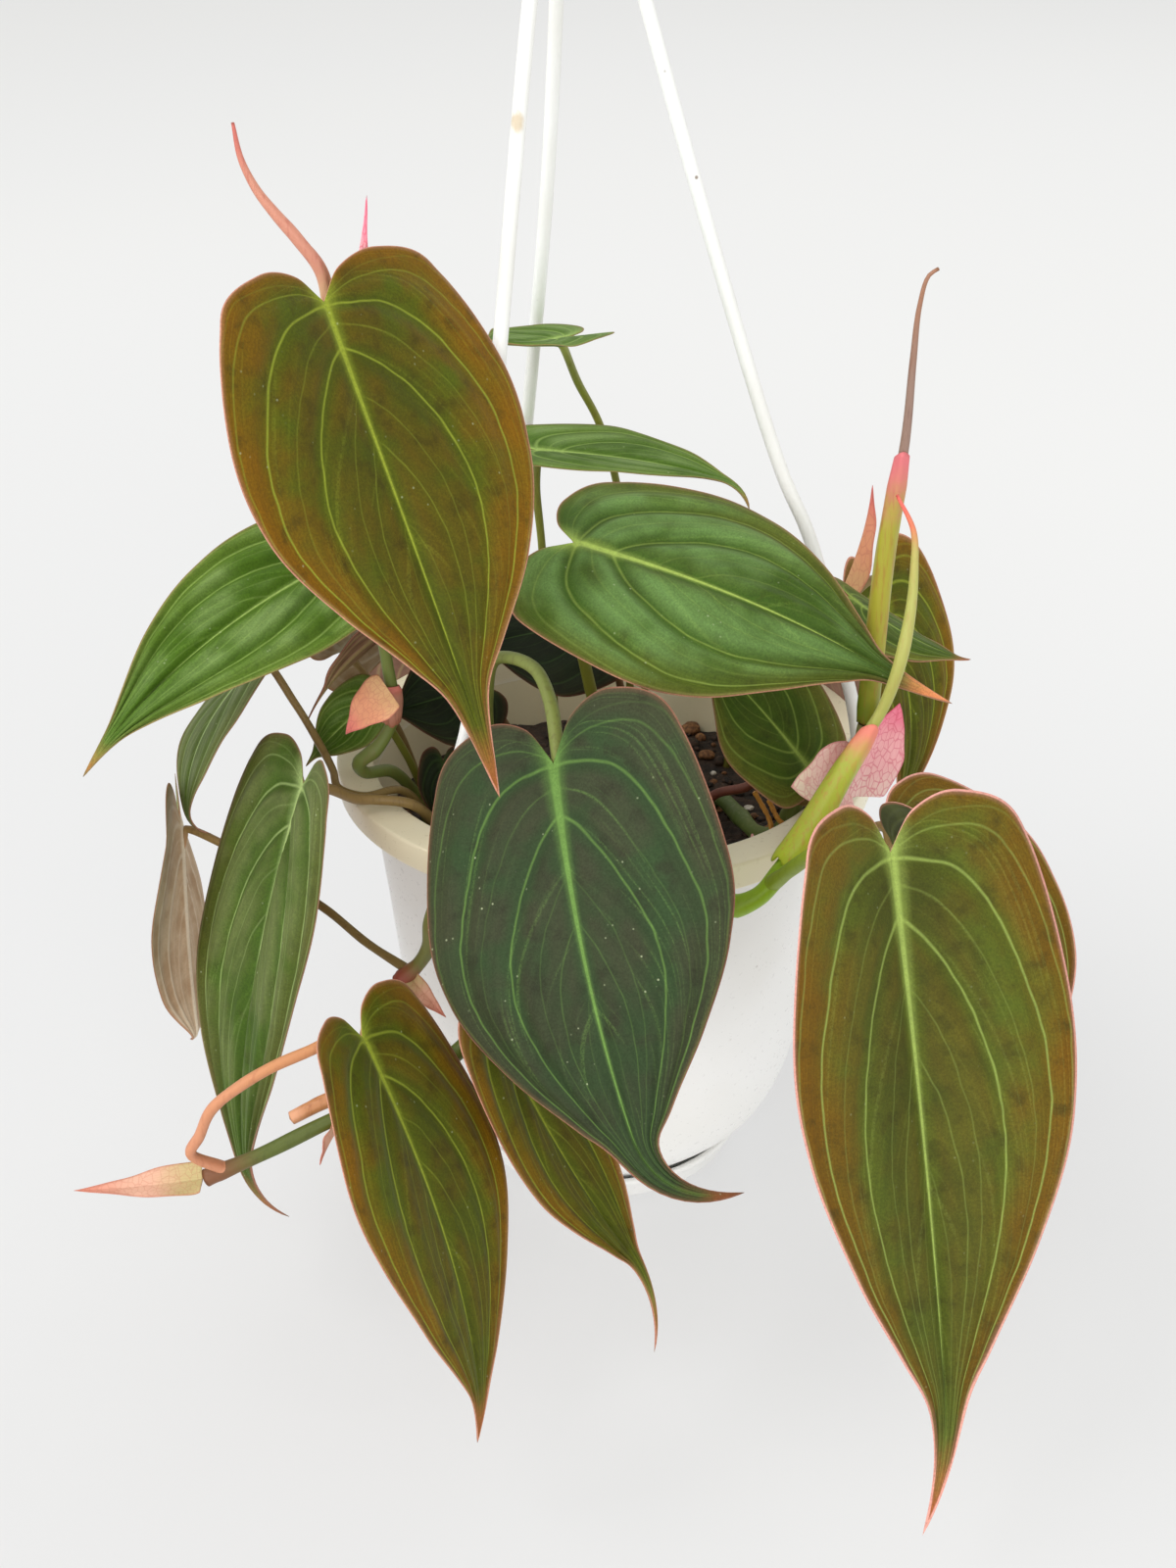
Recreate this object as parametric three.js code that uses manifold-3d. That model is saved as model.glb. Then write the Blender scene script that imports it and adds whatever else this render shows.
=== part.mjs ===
// A potted velvet-leaved trailing philodendron in a white hanging pot with its saucer.
// Millimetres, +Z up. The origin is on the pot's axis, on the underside of the saucer.
// The viewer stands on the -Y side. Sizes are driven by the named values below.

import * as THREE from "three";
import { mergeVertices } from "three/addons/utils/BufferGeometryUtils.js";
import Module from "manifold-3d";

const wasm = await Module();
wasm.setup();

// Driving dimensions
const GAP = 0.3; // clearance between pieces that touch
const ROUND_SIDES = 32; // facets round the pot
const RIM_RADIUS = 70;
const RIM_TOP = 125;
const RIM_DROP = 7; // height of the rolled lip
const RIM_WEB = 2.6; // thickness of the flange
const MOUTH_RADIUS = 60.4;
const WALL = 1.6;
const FOOT_RADIUS = 30;
const FOOT_Z = 1.9;
const SAUCER_HEIGHT = 9.5;
const SAUCER_RADIUS = 38.8;
const SAUCER_FOOT = 34;
const SAUCER_WALL = 1.5;
const SOIL_TOP = 103;
const SOIL_BUMP = 1.6;
const STEM_START = 92; // how deep stems reach into the soil
const ROD_RADIUS = 1.7;
const ROD_CIRCLE = 65.5; // where the rods pass through the flange
const ROD_ANGLE = -5.7; // the right rod, in degrees from +X
const HUB = new THREE.Vector3(-7, -2, 368); // where the three rods meet
const HUB_RADIUS = 7;
const HUB_DROP = 3; // the ball's centre lies this far below the meeting point
const HOOK_NECK = 14; // straight wire between the ball and the bow
const HOOK_RADIUS = 12;
const HOOK_WIRE = 2.2;
const BLADE = 0.75; // thickness of a leaf blade
const PLEAT = 0.9; // height of the quilting between the veins
const PLEAT_PERIOD = 0.4; // share of the half width from groove to groove

// Colours seen in daylight
const COLOURS = {
  plastic: 0xf1f0ec,
  soil: 0x2b211b,
  bronze: 0x5b4a1c,
  green: 0x35502d,
  fresh: 0x4c7c35,
  dark: 0x1f3126,
  under: 0x9c8878,
  stem: 0x6f8f3a,
  petiole: 0x7a6a3a,
  pink: 0xe08f83,
  root: 0xc89a4a,
};

const group = new THREE.Group();
const vec = (p) => new THREE.Vector3(p[0], p[1], p[2]);
const radians = THREE.MathUtils.degToRad;
const lerp = THREE.MathUtils.lerp;
const clamp01 = (x) => THREE.MathUtils.clamp(x, 0, 1);

function add(name, geometry, colour, roughness = 0.55) {
  const material = new THREE.MeshStandardMaterial({ color: COLOURS[colour], roughness, metalness: 0 });
  const mesh = new THREE.Mesh(geometry, material);
  mesh.name = name;
  group.add(mesh);
  return mesh;
}

// Closed geometry to a solid for joining and cutting, and back again.
function toSolid(geometry) {
  const bare = new THREE.BufferGeometry();
  bare.setAttribute("position", geometry.getAttribute("position"));
  if (geometry.index) bare.setIndex(geometry.index);
  const merged = mergeVertices(bare, 1e-4);
  return new wasm.Manifold(
    new wasm.Mesh({
      numProp: 3,
      vertProperties: new Float32Array(merged.attributes.position.array),
      triVerts: new Uint32Array(merged.index.array),
    }),
  );
}

function toGeometry(solid) {
  const mesh = solid.getMesh();
  const geometry = new THREE.BufferGeometry();
  geometry.setAttribute("position", new THREE.BufferAttribute(new Float32Array(mesh.vertProperties), 3));
  geometry.setIndex(new THREE.BufferAttribute(new Uint32Array(mesh.triVerts), 1));
  return geometry;
}

// Turned shapes: a profile of [radius, height] pairs.
function turned(profile, sides = ROUND_SIDES) {
  const points = profile.map(([r, z]) => new THREE.Vector2(r, z));
  const lathe = new THREE.LatheGeometry(points, sides);
  lathe.rotateX(Math.PI / 2);
  return lathe;
}

// Smooth routes and round tubes along them
function route(points) {
  return new THREE.CatmullRomCurve3(points.map(vec), false, "centripetal");
}

function grid(indexOf, rows, columns, index, flip = false) {
  for (let i = 0; i < rows; i++) {
    for (let j = 0; j < columns; j++) {
      const a = indexOf(i, j);
      const b = indexOf(i + 1, j);
      const c = indexOf(i + 1, j + 1);
      const d = indexOf(i, j + 1);
      if (flip) index.push(a, c, b, a, d, c);
      else index.push(a, b, c, a, c, d);
    }
  }
}

function stationsOf(curve, steps) {
  return steps || Math.max(3, Math.round(curve.getLength() / 9));
}

// A solid tube: radiusAt gives the radius at a share of the length.
// With a ceiling, the tube ends at the first station above that height. With a lead, it starts early.
function tube(points, radiusAt, { sides = 7, steps = 0, ceiling = Infinity, lead = 0 } = {}) {
  const curve = route(points);
  const stations = stationsOf(curve, steps);
  const frames = curve.computeFrenetFrames(stations, false);
  let count = 1;
  while (count < stations && curve.getPointAt(count / stations).z < ceiling) count++;
  const position = [];
  const index = [];
  const centreAt = (i) => {
    const centre = curve.getPointAt(i / stations);
    return i === 0 ? centre.addScaledVector(frames.tangents[0], -lead) : centre;
  };
  for (let i = 0; i <= count; i++) {
    const t = i / stations;
    const centre = centreAt(i);
    const radius = radiusAt(t);
    for (let j = 0; j < sides; j++) {
      const angle = (2 * Math.PI * j) / sides;
      const out = frames.normals[i].clone().multiplyScalar(Math.cos(angle));
      out.addScaledVector(frames.binormals[i], Math.sin(angle));
      position.push(...centre.clone().addScaledVector(out, radius).toArray());
    }
  }
  const first = position.length / 3;
  position.push(...centreAt(0).toArray(), ...centreAt(count).toArray());
  grid((i, j) => i * sides + (j % sides), count, sides, index, true);
  for (let j = 0; j < sides; j++) {
    const next = (j + 1) % sides;
    index.push(first, next, j);
    index.push(first + 1, count * sides + j, count * sides + next);
  }
  const geometry = new THREE.BufferGeometry();
  geometry.setAttribute("position", new THREE.Float32BufferAttribute(position, 3));
  geometry.setIndex(index);
  return geometry;
}

// A hollow sleeve open at both ends, cut on the slant at its upper rim.
function sleeve(points, outerAt, innerAt, { sides = 8, steps = 4, slant = 0 } = {}) {
  const curve = route(points);
  const frames = curve.computeFrenetFrames(steps, false);
  const position = [];
  const index = [];
  for (const radiusAt of [outerAt, innerAt]) {
    for (let i = 0; i <= steps; i++) {
      const t = i / steps;
      const centre = curve.getPointAt(t);
      const along = curve.getTangentAt(t);
      for (let j = 0; j < sides; j++) {
        const angle = (2 * Math.PI * j) / sides;
        const point = centre.clone();
        point.addScaledVector(frames.normals[i], radiusAt(t) * Math.cos(angle));
        point.addScaledVector(frames.binormals[i], radiusAt(t) * Math.sin(angle));
        point.addScaledVector(along, slant * t * t * Math.cos(angle));
        position.push(...point.toArray());
      }
    }
  }
  const outer = (i, j) => i * sides + (j % sides);
  const inner = (i, j) => (steps + 1 + i) * sides + (j % sides);
  grid(outer, steps, sides, index, true);
  grid(inner, steps, sides, index, false);
  for (let j = 0; j < sides; j++) {
    index.push(outer(0, j), inner(0, j), inner(0, j + 1), outer(0, j), inner(0, j + 1), outer(0, j + 1));
    index.push(outer(steps, j), inner(steps, j + 1), inner(steps, j));
    index.push(outer(steps, j), outer(steps, j + 1), inner(steps, j + 1));
  }
  const geometry = new THREE.BufferGeometry();
  geometry.setAttribute("position", new THREE.Float32BufferAttribute(position, 3));
  geometry.setIndex(index);
  return geometry;
}

// The leaf blade. Stations run from the junction with the petiole, round the lobe, to the tip.
// Across are shares of the half width, back are shares of the lobe, along are shares of the length.
const HEART = {
  at: [0, 0.05, 0.12, 0.22, 0.36, 0.52, 0.68, 0.8, 0.88, 1],
  across: [0, 0.17, 0.46, 0.83, 1, 0.9, 0.6, 0.29, 0.115, 0],
  back: [0, 0.75, 1, 0.62, 0, 0, 0, 0, 0, 0],
};
// A lance-shaped bract, wide and blunt where it clasps the stem.
const LANCE = {
  at: [0, 0.05, 0.12, 0.22, 0.36, 0.52, 0.68, 0.8, 0.88, 1],
  across: [0, 0.55, 0.8, 0.93, 1, 0.88, 0.62, 0.4, 0.25, 0],
  back: [0, 0, 0, 0, 0, 0, 0, 0, 0, 0],
};
const MARGIN_ALONG = [0, 0, 0, 0.03, 0.25, 0.445, 0.63, 0.775, 0.87, 1];
const RIB_ALONG = [0, 0.015, 0.05, 0.13, 0.27, 0.44, 0.61, 0.755, 0.86, 1];
const LEAF_DEFAULTS = {
  shape: HEART, width: 40, lobe: 9, tail: 0.16, wide: 0.21, roll: 0, fold: 8, arch: 0.1, droop: 20,
  sweep: 0, twist: 0, curl: 0, curlSide: 0, left: 1, pleat: PLEAT, thick: BLADE,
};
const SPINE_STEPS = 48;
const FINE_ROWS = [0, 0.04, 0.09, 0.15, 0.23, 0.34, 0.48, 0.63, 0.77, 0.88, 1];
const PLAIN_ROWS = [0, 0.06, 0.14, 0.26, 0.45, 0.66, 0.84, 1];
const BRACT_ROWS = [0, 0.08, 0.22, 0.42, 0.64, 0.84, 1];
const KNEE = 0.08; // how far round the blade's stations the petiole runs on under the midrib

// A smooth curve through values at uneven places.
function smooth(at, values, u) {
  const slope = values.map((_, k) => {
    const a = Math.max(0, k - 1);
    const b = Math.min(values.length - 1, k + 1);
    return (values[b] - values[a]) / (at[b] - at[a]);
  });
  let k = 0;
  while (k < at.length - 2 && u >= at[k + 1]) k++;
  const h = at[k + 1] - at[k];
  const t = (u - at[k]) / h;
  return (
    (1 + 2 * t) * (1 - t) ** 2 * values[k] +
    t * (1 - t) ** 2 * h * slope[k] +
    t * t * (3 - 2 * t) * values[k + 1] +
    t * t * (t - 1) * h * slope[k + 1]
  );
}

// Straight-line lookup in a short list of steps.
function steps(x, from, to) {
  let k = 0;
  while (k < from.length - 2 && x > from[k + 1]) k++;
  return lerp(to[k], to[k + 1], clamp01((x - from[k]) / (from[k + 1] - from[k])));
}

// The place of u, v on the blade when it is pressed flat: x across, y from junction to tip.
function flatPoint(leaf, length, u, v) {
  const { at, across, back } = leaf.shape;
  const margin = MARGIN_ALONG.map((y) => steps(y, [0, 0.25, 0.87, 1], [0, leaf.wide, 1 - leaf.tail, 1]));
  const rib = RIB_ALONG.map((y) => steps(y, [0, 0.27, 0.86, 1], [0, leaf.wide + 0.02, 0.99 - leaf.tail, 1]));
  const side = v < 0 ? leaf.left : 1;
  const x = (smooth(at, across, u) * leaf.width) / 2;
  const marginY = smooth(at, margin, u) * length - smooth(at, back, u) * leaf.lobe;
  const ribY = smooth(at, rib, u) * length;
  const share = Math.abs(v);
  return [v * x * side, ribY * (1 - share) + marginY * share];
}

// The bent midrib: points and cross directions, with the junction at zero.
function spine(leaf, length) {
  const places = [];
  let point = new THREE.Vector3();
  let before = null;
  for (let k = 0; k <= SPINE_STEPS; k++) {
    const s = k / SPINE_STEPS;
    const end = clamp01((s - (1 - leaf.tail * 1.2)) / (leaf.tail * 1.2)) ** 1.2;
    const pitch = radians(leaf.droop) * s ** 1.4 + radians(leaf.curl) * end;
    const yaw = radians(leaf.sweep) * s ** 2 + radians(leaf.curlSide) * end;
    const turn = radians(leaf.twist) * s;
    const along = new THREE.Vector3(
      Math.sin(yaw) * Math.cos(pitch), Math.cos(yaw) * Math.cos(pitch), -Math.sin(pitch),
    );
    const level = new THREE.Vector3(Math.cos(yaw), -Math.sin(yaw), 0);
    const normal = level.clone().cross(along);
    const cross = level.clone().multiplyScalar(Math.cos(turn)).addScaledVector(normal, Math.sin(turn));
    const up = normal.multiplyScalar(Math.cos(turn)).addScaledVector(level, -Math.sin(turn));
    if (before) {
      const mean = before.clone().add(along).multiplyScalar((0.5 * length) / SPINE_STEPS);
      point = point.clone().add(mean);
    }
    places.push({ s: s * length, point, along, cross, up });
    before = along;
  }
  return places;
}

function spineAt(places, y) {
  const last = places.length - 1;
  const span = places[last].s / last;
  const k = Math.min(last - 1, Math.max(0, Math.floor(y / span)));
  const t = clamp01((y - places[k].s) / span);
  const mix = (key) => places[k][key].clone().lerp(places[k + 1][key], t);
  return { point: mix("point"), cross: mix("cross"), up: mix("up") };
}

// Rows of points over the blade, in the object's own frame.
function bladePoints(leaf, stations, columns) {
  const base = vec(leaf.base);
  const tip = vec(leaf.tip);
  const unit = spine(leaf, 1);
  const chord = unit[SPINE_STEPS].point;
  const length = base.distanceTo(tip) / chord.length();
  const places = spine(leaf, length);
  const localAlong = chord.clone().normalize();
  const localUp = new THREE.Vector3(0, 0, 1).addScaledVector(localAlong, -localAlong.z).normalize();
  const along = tip.clone().sub(base).normalize();
  const level = new THREE.Vector3(0, 0, 1).addScaledVector(along, -along.z).normalize();
  const beside = along.clone().cross(level);
  const up = level.multiplyScalar(Math.cos(radians(leaf.roll)));
  up.addScaledVector(beside, Math.sin(radians(leaf.roll)));
  const from = new THREE.Matrix4().makeBasis(localAlong, localUp, localAlong.clone().cross(localUp));
  const to = new THREE.Matrix4().makeBasis(along, up, along.clone().cross(up));
  const turn = to.multiply(from.transpose());
  const fold = radians(leaf.fold);
  const points = [];
  for (const u of stations) {
    const inside = clamp01(Math.min(u, 1 - u) / 0.25);
    const row = [];
    for (let j = -columns; j <= columns; j++) {
      const v = j / columns;
      const [x, y] = flatPoint(leaf, length, u, v);
      const place = spineAt(places, y);
      const beyond = y - Math.min(Math.max(y, 0), length);
      let height = Math.abs(x) * Math.sin(fold) - (leaf.arch * 2 * x * x) / leaf.width;
      height += leaf.pleat * inside * (0.5 - 0.5 * Math.cos((2 * Math.PI * Math.abs(v)) / PLEAT_PERIOD));
      const point = place.point.clone().addScaledVector(places[0].along, beyond);
      point.addScaledVector(place.cross, x * Math.cos(fold)).addScaledVector(place.up, height);
      row.push(point.applyMatrix4(turn).add(base));
    }
    points.push(row);
  }
  return points;
}

// The blade as a closed solid, split into the same triangles on both faces.
function blade(leaf, stations, columns) {
  const rows = stations.length - 1;
  const points = bladePoints(leaf, stations, columns);
  const width = 2 * columns;
  const surface = [];
  const numbers = [];
  for (let i = 0; i <= rows; i++) {
    const pole = i === 0 || i === rows;
    numbers.push(points[i].map((_, j) => surface.length + (pole ? 0 : j)));
    for (const point of pole ? [points[i][0]] : points[i]) surface.push(point);
  }
  const face = [];
  for (let i = 0; i < rows; i++) {
    for (let j = 0; j < width; j++) {
      const [a, b, c, d] = [numbers[i][j], numbers[i + 1][j], numbers[i + 1][j + 1], numbers[i][j + 1]];
      const mirrored = j < columns;
      const pair = mirrored ? [[a, d, b], [b, d, c]] : [[a, c, b], [a, d, c]];
      for (const t of pair) if (new Set(t).size === 3) face.push(t);
    }
  }
  const normals = surface.map(() => new THREE.Vector3());
  for (const [a, b, c] of face) {
    const n = surface[b].clone().sub(surface[a]).cross(surface[c].clone().sub(surface[a]));
    for (const k of [a, b, c]) normals[k].add(n);
  }
  const position = [];
  for (const sign of [0.5, -0.5]) {
    surface.forEach((p, k) => {
      position.push(...p.clone().addScaledVector(normals[k].clone().normalize(), sign * leaf.thick).toArray());
    });
  }
  const under = surface.length;
  const index = [];
  for (const [a, b, c] of face) index.push(a, b, c, a + under, c + under, b + under);
  for (let i = 0; i < rows; i++) {
    for (const [j, flip] of [[0, false], [width, true]]) {
      const a = numbers[i][j];
      const b = numbers[i + 1][j];
      const wall = flip ? [a, a + under, b, b, a + under, b + under] : [a, b, a + under, b, b + under, a + under];
      index.push(...wall);
    }
  }
  const geometry = new THREE.BufferGeometry();
  geometry.setAttribute("position", new THREE.Float32BufferAttribute(position, 3));
  geometry.setIndex(index);
  return geometry;
}

// Leaves: base is the junction of petiole and blade, tip the end of the drip tip, stalk the route of
// the petiole from its stem or the soil up to the base, petiole its radius. Angles are in degrees.
const LEAVES = [
  {
    name: "leaf_upper_left", colour: "bronze", base: [-57, -62, 258], tip: [-23, -98, 163], width: 74,
    lobe: 8, tail: 0.2, wide: 0.2, roll: -13, fold: 7, droop: -6, sweep: 11, twist: -34, left: 1.12, fine: true,
    from: ["stem_left_shoot", 0.93], stalk: [[-57, -57, 249]], petiole: 1.5,
  },
  {
    name: "leaf_front_centre", colour: "dark", base: [-12, -73.5, 158], tip: [29, -121.5, 76], width: 77,
    lobe: 13, tail: 0.24, wide: 0.24, roll: 61, fold: 1, droop: 34, sweep: -3, twist: 21, curl: 46, curlSide: -118,
    left: 0.95, fine: true, petiole: 1.6,
    stalk: [[-26, -10, STEM_START], [-28, -16, 118], [-29, -27, 150], [-26, -36, 166], [-17, -47, 169],
      [-13, -58, 166]],
  },
  {
    name: "leaf_front_right", colour: "bronze", base: [57, -112, 157], tip: [64, -172, 26], width: 70,
    lobe: 11, tail: 0.19, wide: 0.21, roll: -26, fold: 19, droop: 13, sweep: -6, twist: -28, curlSide: 33,
    left: 1.05, fine: true, from: ["stem_right_front", 0.835],
    stalk: [[44, -88, 142], [51, -101, 155]], petiole: 1.7,
  },
  {
    name: "leaf_lower_left", colour: "bronze", base: [-54, -112, 112], tip: [-31, -140, 20], width: 58,
    lobe: 8, tail: 0.13, wide: 0.21, roll: -35, fold: 9, droop: 32, sweep: -14, twist: -21, curlSide: 17,
    fine: true, petiole: 1.3,
    from: ["stem_trailing", 0.97],
    stalk: [[-96, -104, 74], [-93, -106, 81], [-89, -108, 90], [-82, -109, 97], [-74, -110, 103],
      [-66, -110, 107], [-60, -110, 110]],
  },
  {
    name: "leaf_left_pleated", colour: "green", base: [-72, -48, 139], tip: [-81, -75, 30], width: 58,
    lobe: 9, tail: 0.17, wide: 0.19, roll: 44, fold: 11, droop: 27, sweep: -1, twist: 18, curl: 48, curlSide: -16,
    left: 1.06, fine: true, petiole: 1.3,
    stalk: [[-34, -20, STEM_START], [-38, -28, 112], [-43, -33.5, 121], [-48, -36, 127], [-57, -36.7, 128.8],
      [-61, -38.5, 130], [-67, -44, 136]],
  },
  {
    name: "leaf_right_high", colour: "green", base: [-7, -36, 195], tip: [80, -50, 160], width: 62,
    lobe: 9, tail: 0.22, wide: 0.22, roll: 19, fold: -5, droop: 41, sweep: -14, twist: -17, curlSide: -33,
    left: 1.05, fine: true, petiole: 1.5,
    stalk: [[4, -6, STEM_START], [2, -10, 120], [-4, -20, 152], [-8, -30, 182]],
  },
  {
    name: "leaf_left_fresh", colour: "fresh", base: [-57, -5, 182.7], tip: [-121, -58.5, 147.7], width: 38,
    lobe: 12, tail: 0.13, wide: 0.26, roll: -26, fold: 6, droop: 60, twist: 10, left: 1.05, fine: true,
    from: ["stem_left_shoot", 0.58],
    stalk: [[-56, -18, 183]],
  },
  {
    name: "leaf_low_centre", colour: "dark", base: [-27, -90, 98.5], tip: [10, -109, 16.3], width: 36,
    lobe: 11, tail: 0.23, wide: 0.22, roll: 1, fold: 12, droop: -15, sweep: -8, twist: -7, curl: 24, curlSide: 55,
    fine: true, from: ["stem_trailing", 0.583], stalk: [[-31, -87.5, 94.5]], petiole: 1.2,
  },
  {
    name: "leaf_back_high", colour: "fresh", base: [-16, 25, 196], tip: [37, 10, 185], width: 35,
    lobe: 12, tail: 0.17, fold: 12, droop: 14, sweep: 15, curl: 39, curlSide: 50,
    stalk: [[-12, 16, STEM_START], [-14, 20, 140], [-16, 23.5, 172], [-17, 24, 188]],
  },
  {
    name: "leaf_topmost", colour: "fresh", base: [-10, 22, 226], tip: [-30, 4, 233], width: 26,
    lobe: 12, roll: 4, fold: 11, droop: -18, twist: 8, curl: -30,
    stalk: [[8, 30, STEM_START], [7, 38, 140], [5, 46, 174], [0, 46, 195], [-6, 38, 210]],
  },
  {
    name: "leaf_front_right_under", colour: "bronze", base: [64, -81.5, 140], tip: [99, -107.5, 84], width: 55,
    lobe: 9, tail: 0.21, wide: 0.23, roll: -27, fold: 40, droop: 52, sweep: -4, twist: -13, left: 1.08, fine: true,
    from: ["stem_right_rear", 0.7],
    stalk: [[52, -42, 129.2], [57.5, -50, 128.8], [61, -60, 133], [63, -72, 139.5]], petiole: 1.2,
  },
  {
    name: "leaf_right_inner", colour: "green", base: [49, -34.5, 135.5], tip: [20, -24, 165], width: 36,
    lobe: 5, tail: 0.15, wide: 0.25, roll: -24, droop: 10, sweep: -10, twist: 12,
    from: ["stem_right_rear", 0.735], stalk: [[49.3, -34, 132.8]],
  },
  {
    name: "leaf_right_rear", colour: "bronze", base: [74, 22, 155], tip: [77, 10, 97], width: 33,
    lobe: 15, tail: 0.1, wide: 0.17, roll: -24, fold: 7, droop: 25, sweep: 40, twist: 7, curl: 25, curlSide: 15,
    left: 1.3, fine: true, from: ["stem_right_back", 0.96],
    stalk: [[69, 10, 166], [74, 18, 161]],
  },
  {
    name: "leaf_left_underside", colour: "under", base: [-108, -25.6, 114.6], tip: [-110, -35.6, 56.6], width: 47,
    lobe: 13, tail: 0.11, wide: 0.23, roll: 72, fold: 9, droop: 3, sweep: 30, twist: -33, curl: -44, curlSide: 46,
    from: ["stem_front_left", 0.96], stalk: [[-59, -55, 99], [-69, -48, 104], [-83, -37, 107], [-97, -29.5, 112.5]],
  },
  {
    name: "leaf_left_folded", colour: "green", base: [-89, -12, 152], tip: [-99, -32, 117], width: 33,
    lobe: 12, tail: 0.17, wide: 0.22, roll: 42, fold: 4, droop: 61, twist: 13, curl: 71, curlSide: 13,
    stalk: [[-40, -14, STEM_START], [-44, -22, 112], [-51, -28.5, 126.8], [-60, -33.5, 128], [-66, -33, 130],
      [-68, -27, 132], [-72, -20, 136], [-78, -14, 144], [-86, -9.5, 154]],
  },
  {
    name: "leaf_right_small", colour: "dark", base: [61, -12, 170], tip: [89, -24, 159], width: 28,
    lobe: 8, tail: 0.11, roll: -4, fold: -8, droop: -16, sweep: -18, curl: -17,
    from: ["stem_right_back", 0.93], stalk: [[60, -5, 166]],
  },
  {
    name: "leaf_inner_dark", colour: "dark", base: [-2, 2, 158], tip: [-36, 4, 150], width: 40, lobe: 9,
    roll: -40, stalk: [[6, 6, STEM_START], [4, 6, 140]],
  },
  {
    name: "leaf_inner_red_edge", colour: "dark", base: [-33, -12, 147], tip: [-56, -17, 142], width: 28,
    lobe: 7, roll: -60, stalk: [[-20, -2, STEM_START], [-24, -6, 130]],
  },
  {
    name: "leaf_inner_low", colour: "dark", base: [-41, -20, 130], tip: [-41, -27, 112], width: 13, lobe: 4,
    droop: 28, petiole: 1.1, stalk: [[-29, -5, STEM_START], [-36, -14.5, 123]],
  },
  {
    name: "leaf_pale_underside", colour: "under", base: [-68, 10, 148], tip: [-45, 27, 163], width: 34,
    lobe: 9, roll: -75, stalk: [[-46, 6, STEM_START], [-53, 7, 121], [-61, 9, 138]],
  },
  {
    name: "leaf_narrow_dark", colour: "dark", base: [-48, -2, 164], tip: [-77, -6, 134], width: 22,
    lobe: 4, roll: 35, tail: 0.25, droop: 35, stalk: [[-36, 4, STEM_START], [-40, 3, 135], [-45, 1, 160]],
  },
  {
    name: "leaf_inner_light", colour: "fresh", base: [-60, -8, 141], tip: [-77, -12, 125], width: 20,
    lobe: 5, roll: -30, stalk: [[-44, 0, STEM_START], [-51, -4, 122]],
  },
  {
    name: "leaf_back_right", colour: "green", base: [52, 46, 142], tip: [72, 72, 76], width: 44,
    stalk: [[32, 26, STEM_START], [40, 34, 124], [47, 42, 139]],
  },
  {
    name: "leaf_back_centre", colour: "bronze", base: [16, 70, 138], tip: [26, 102, 52], width: 52, fine: true,
    stalk: [[10, 44, STEM_START], [13, 52, 126], [15, 63, 137]],
  },
  {
    name: "leaf_back_left", colour: "green", base: [-48, 52, 136], tip: [-58, 84, 66], width: 36,
    stalk: [[-34, 30, STEM_START], [-39, 38, 122], [-45, 48, 134]],
  },
];

// Stems: the routes of the main shoots. Nodes are places along them where the stem swells.
const STEMS = [
  {
    name: "stem_left_shoot", colour: "stem", radius: 1.6, taper: 0.85, nodes: [0.33, 0.92],
    points: [[-44, -5, STEM_START], [-48, -12, 114], [-54, -19, 127], [-60, -27.5, 131.5], [-61, -29.5, 135],
      [-56, -29, 139.5], [-52, -28, 147], [-52.5, -29, 162], [-55, -36, 194], [-56, -46, 228], [-57, -51, 249]],
  },
  {
    name: "stem_front_left", colour: "stem", radius: 1.9, taper: 0.9, nodes: [0.97],
    points: [[-24, -30, STEM_START], [-27, -40, 114], [-30, -49, 127], [-33, -58, 129], [-38, -67, 124],
      [-42, -67, 112], [-43, -65, 104], [-46, -63.5, 98], [-51, -63, 93]],
  },
  {
    name: "stem_trailing", colour: "stem", radius: 1.9, taper: 0.9, nodes: [0.62, 0.99],
    points: [[-8, -36, STEM_START], [-10, -47, 114], [-13, -61, 128.8], [-17, -72.5, 124], [-24, -77, 108],
      [-34, -82, 88], [-50, -92, 82], [-66, -97, 77], [-80, -100, 71], [-94, -101, 64.6]],
  },
  {
    name: "stem_right_front", colour: "fresh", radius: 2.7, taper: 0.8, nodes: [0.72],
    points: [[8, -34, STEM_START], [12, -44, 114], [18, -59, 129], [23, -70, 126], [27.5, -74.5, 121],
      [34, -74.5, 123], [39, -72.5, 128], [43, -70.6, 133.5], [46.5, -68.8, 138.5]],
  },
  {
    name: "stem_right_rear", colour: "stem", radius: 2.1, taper: 0.95, nodes: [0.3, 0.62],
    points: [[24, 8, STEM_START], [30, 3, 106], [35, -8, 107], [39, -22, 109.5], [43, -30, 114.5],
      [45.5, -33.3, 121], [48, -35, 128], [53, -37.5, 131.5], [60.5, -39.8, 141], [62, -40, 150]],
  },
  {
    name: "stem_right_back", colour: "petiole", radius: 1.3, taper: 0.9, nodes: [0.96],
    points: [[22, -4, STEM_START], [28, -7, 112], [38, -11, 118], [48, -8, 132], [56, 0, 150], [60.5, 4, 164]],
  },
];

// A place beside a stem at a share of its length, on the side of the next point and just clear of it.
function besideStem([name, share], next, radius) {
  const stem = STEMS.find((each) => each.name === name);
  const curve = route(stem.points);
  const centre = curve.getPointAt(share);
  const along = curve.getTangentAt(share);
  const towards = vec(next).sub(centre);
  const radial = towards.clone().addScaledVector(along, -towards.dot(along)).normalize();
  const lean = towards.normalize().dot(radial);
  const reach = swelling(stem)(share) + GAP + radius * Math.sqrt(1 - lean * lean);
  return centre.addScaledVector(radial, reach).toArray();
}

function swelling(stem) {
  return (t) => {
    const near = Math.max(...stem.nodes.map((n) => Math.exp(-(((t - n) / 0.03) ** 2))));
    return stem.radius * lerp(1, stem.taper, t) * (1 + 0.22 * near);
  };
}

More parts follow.
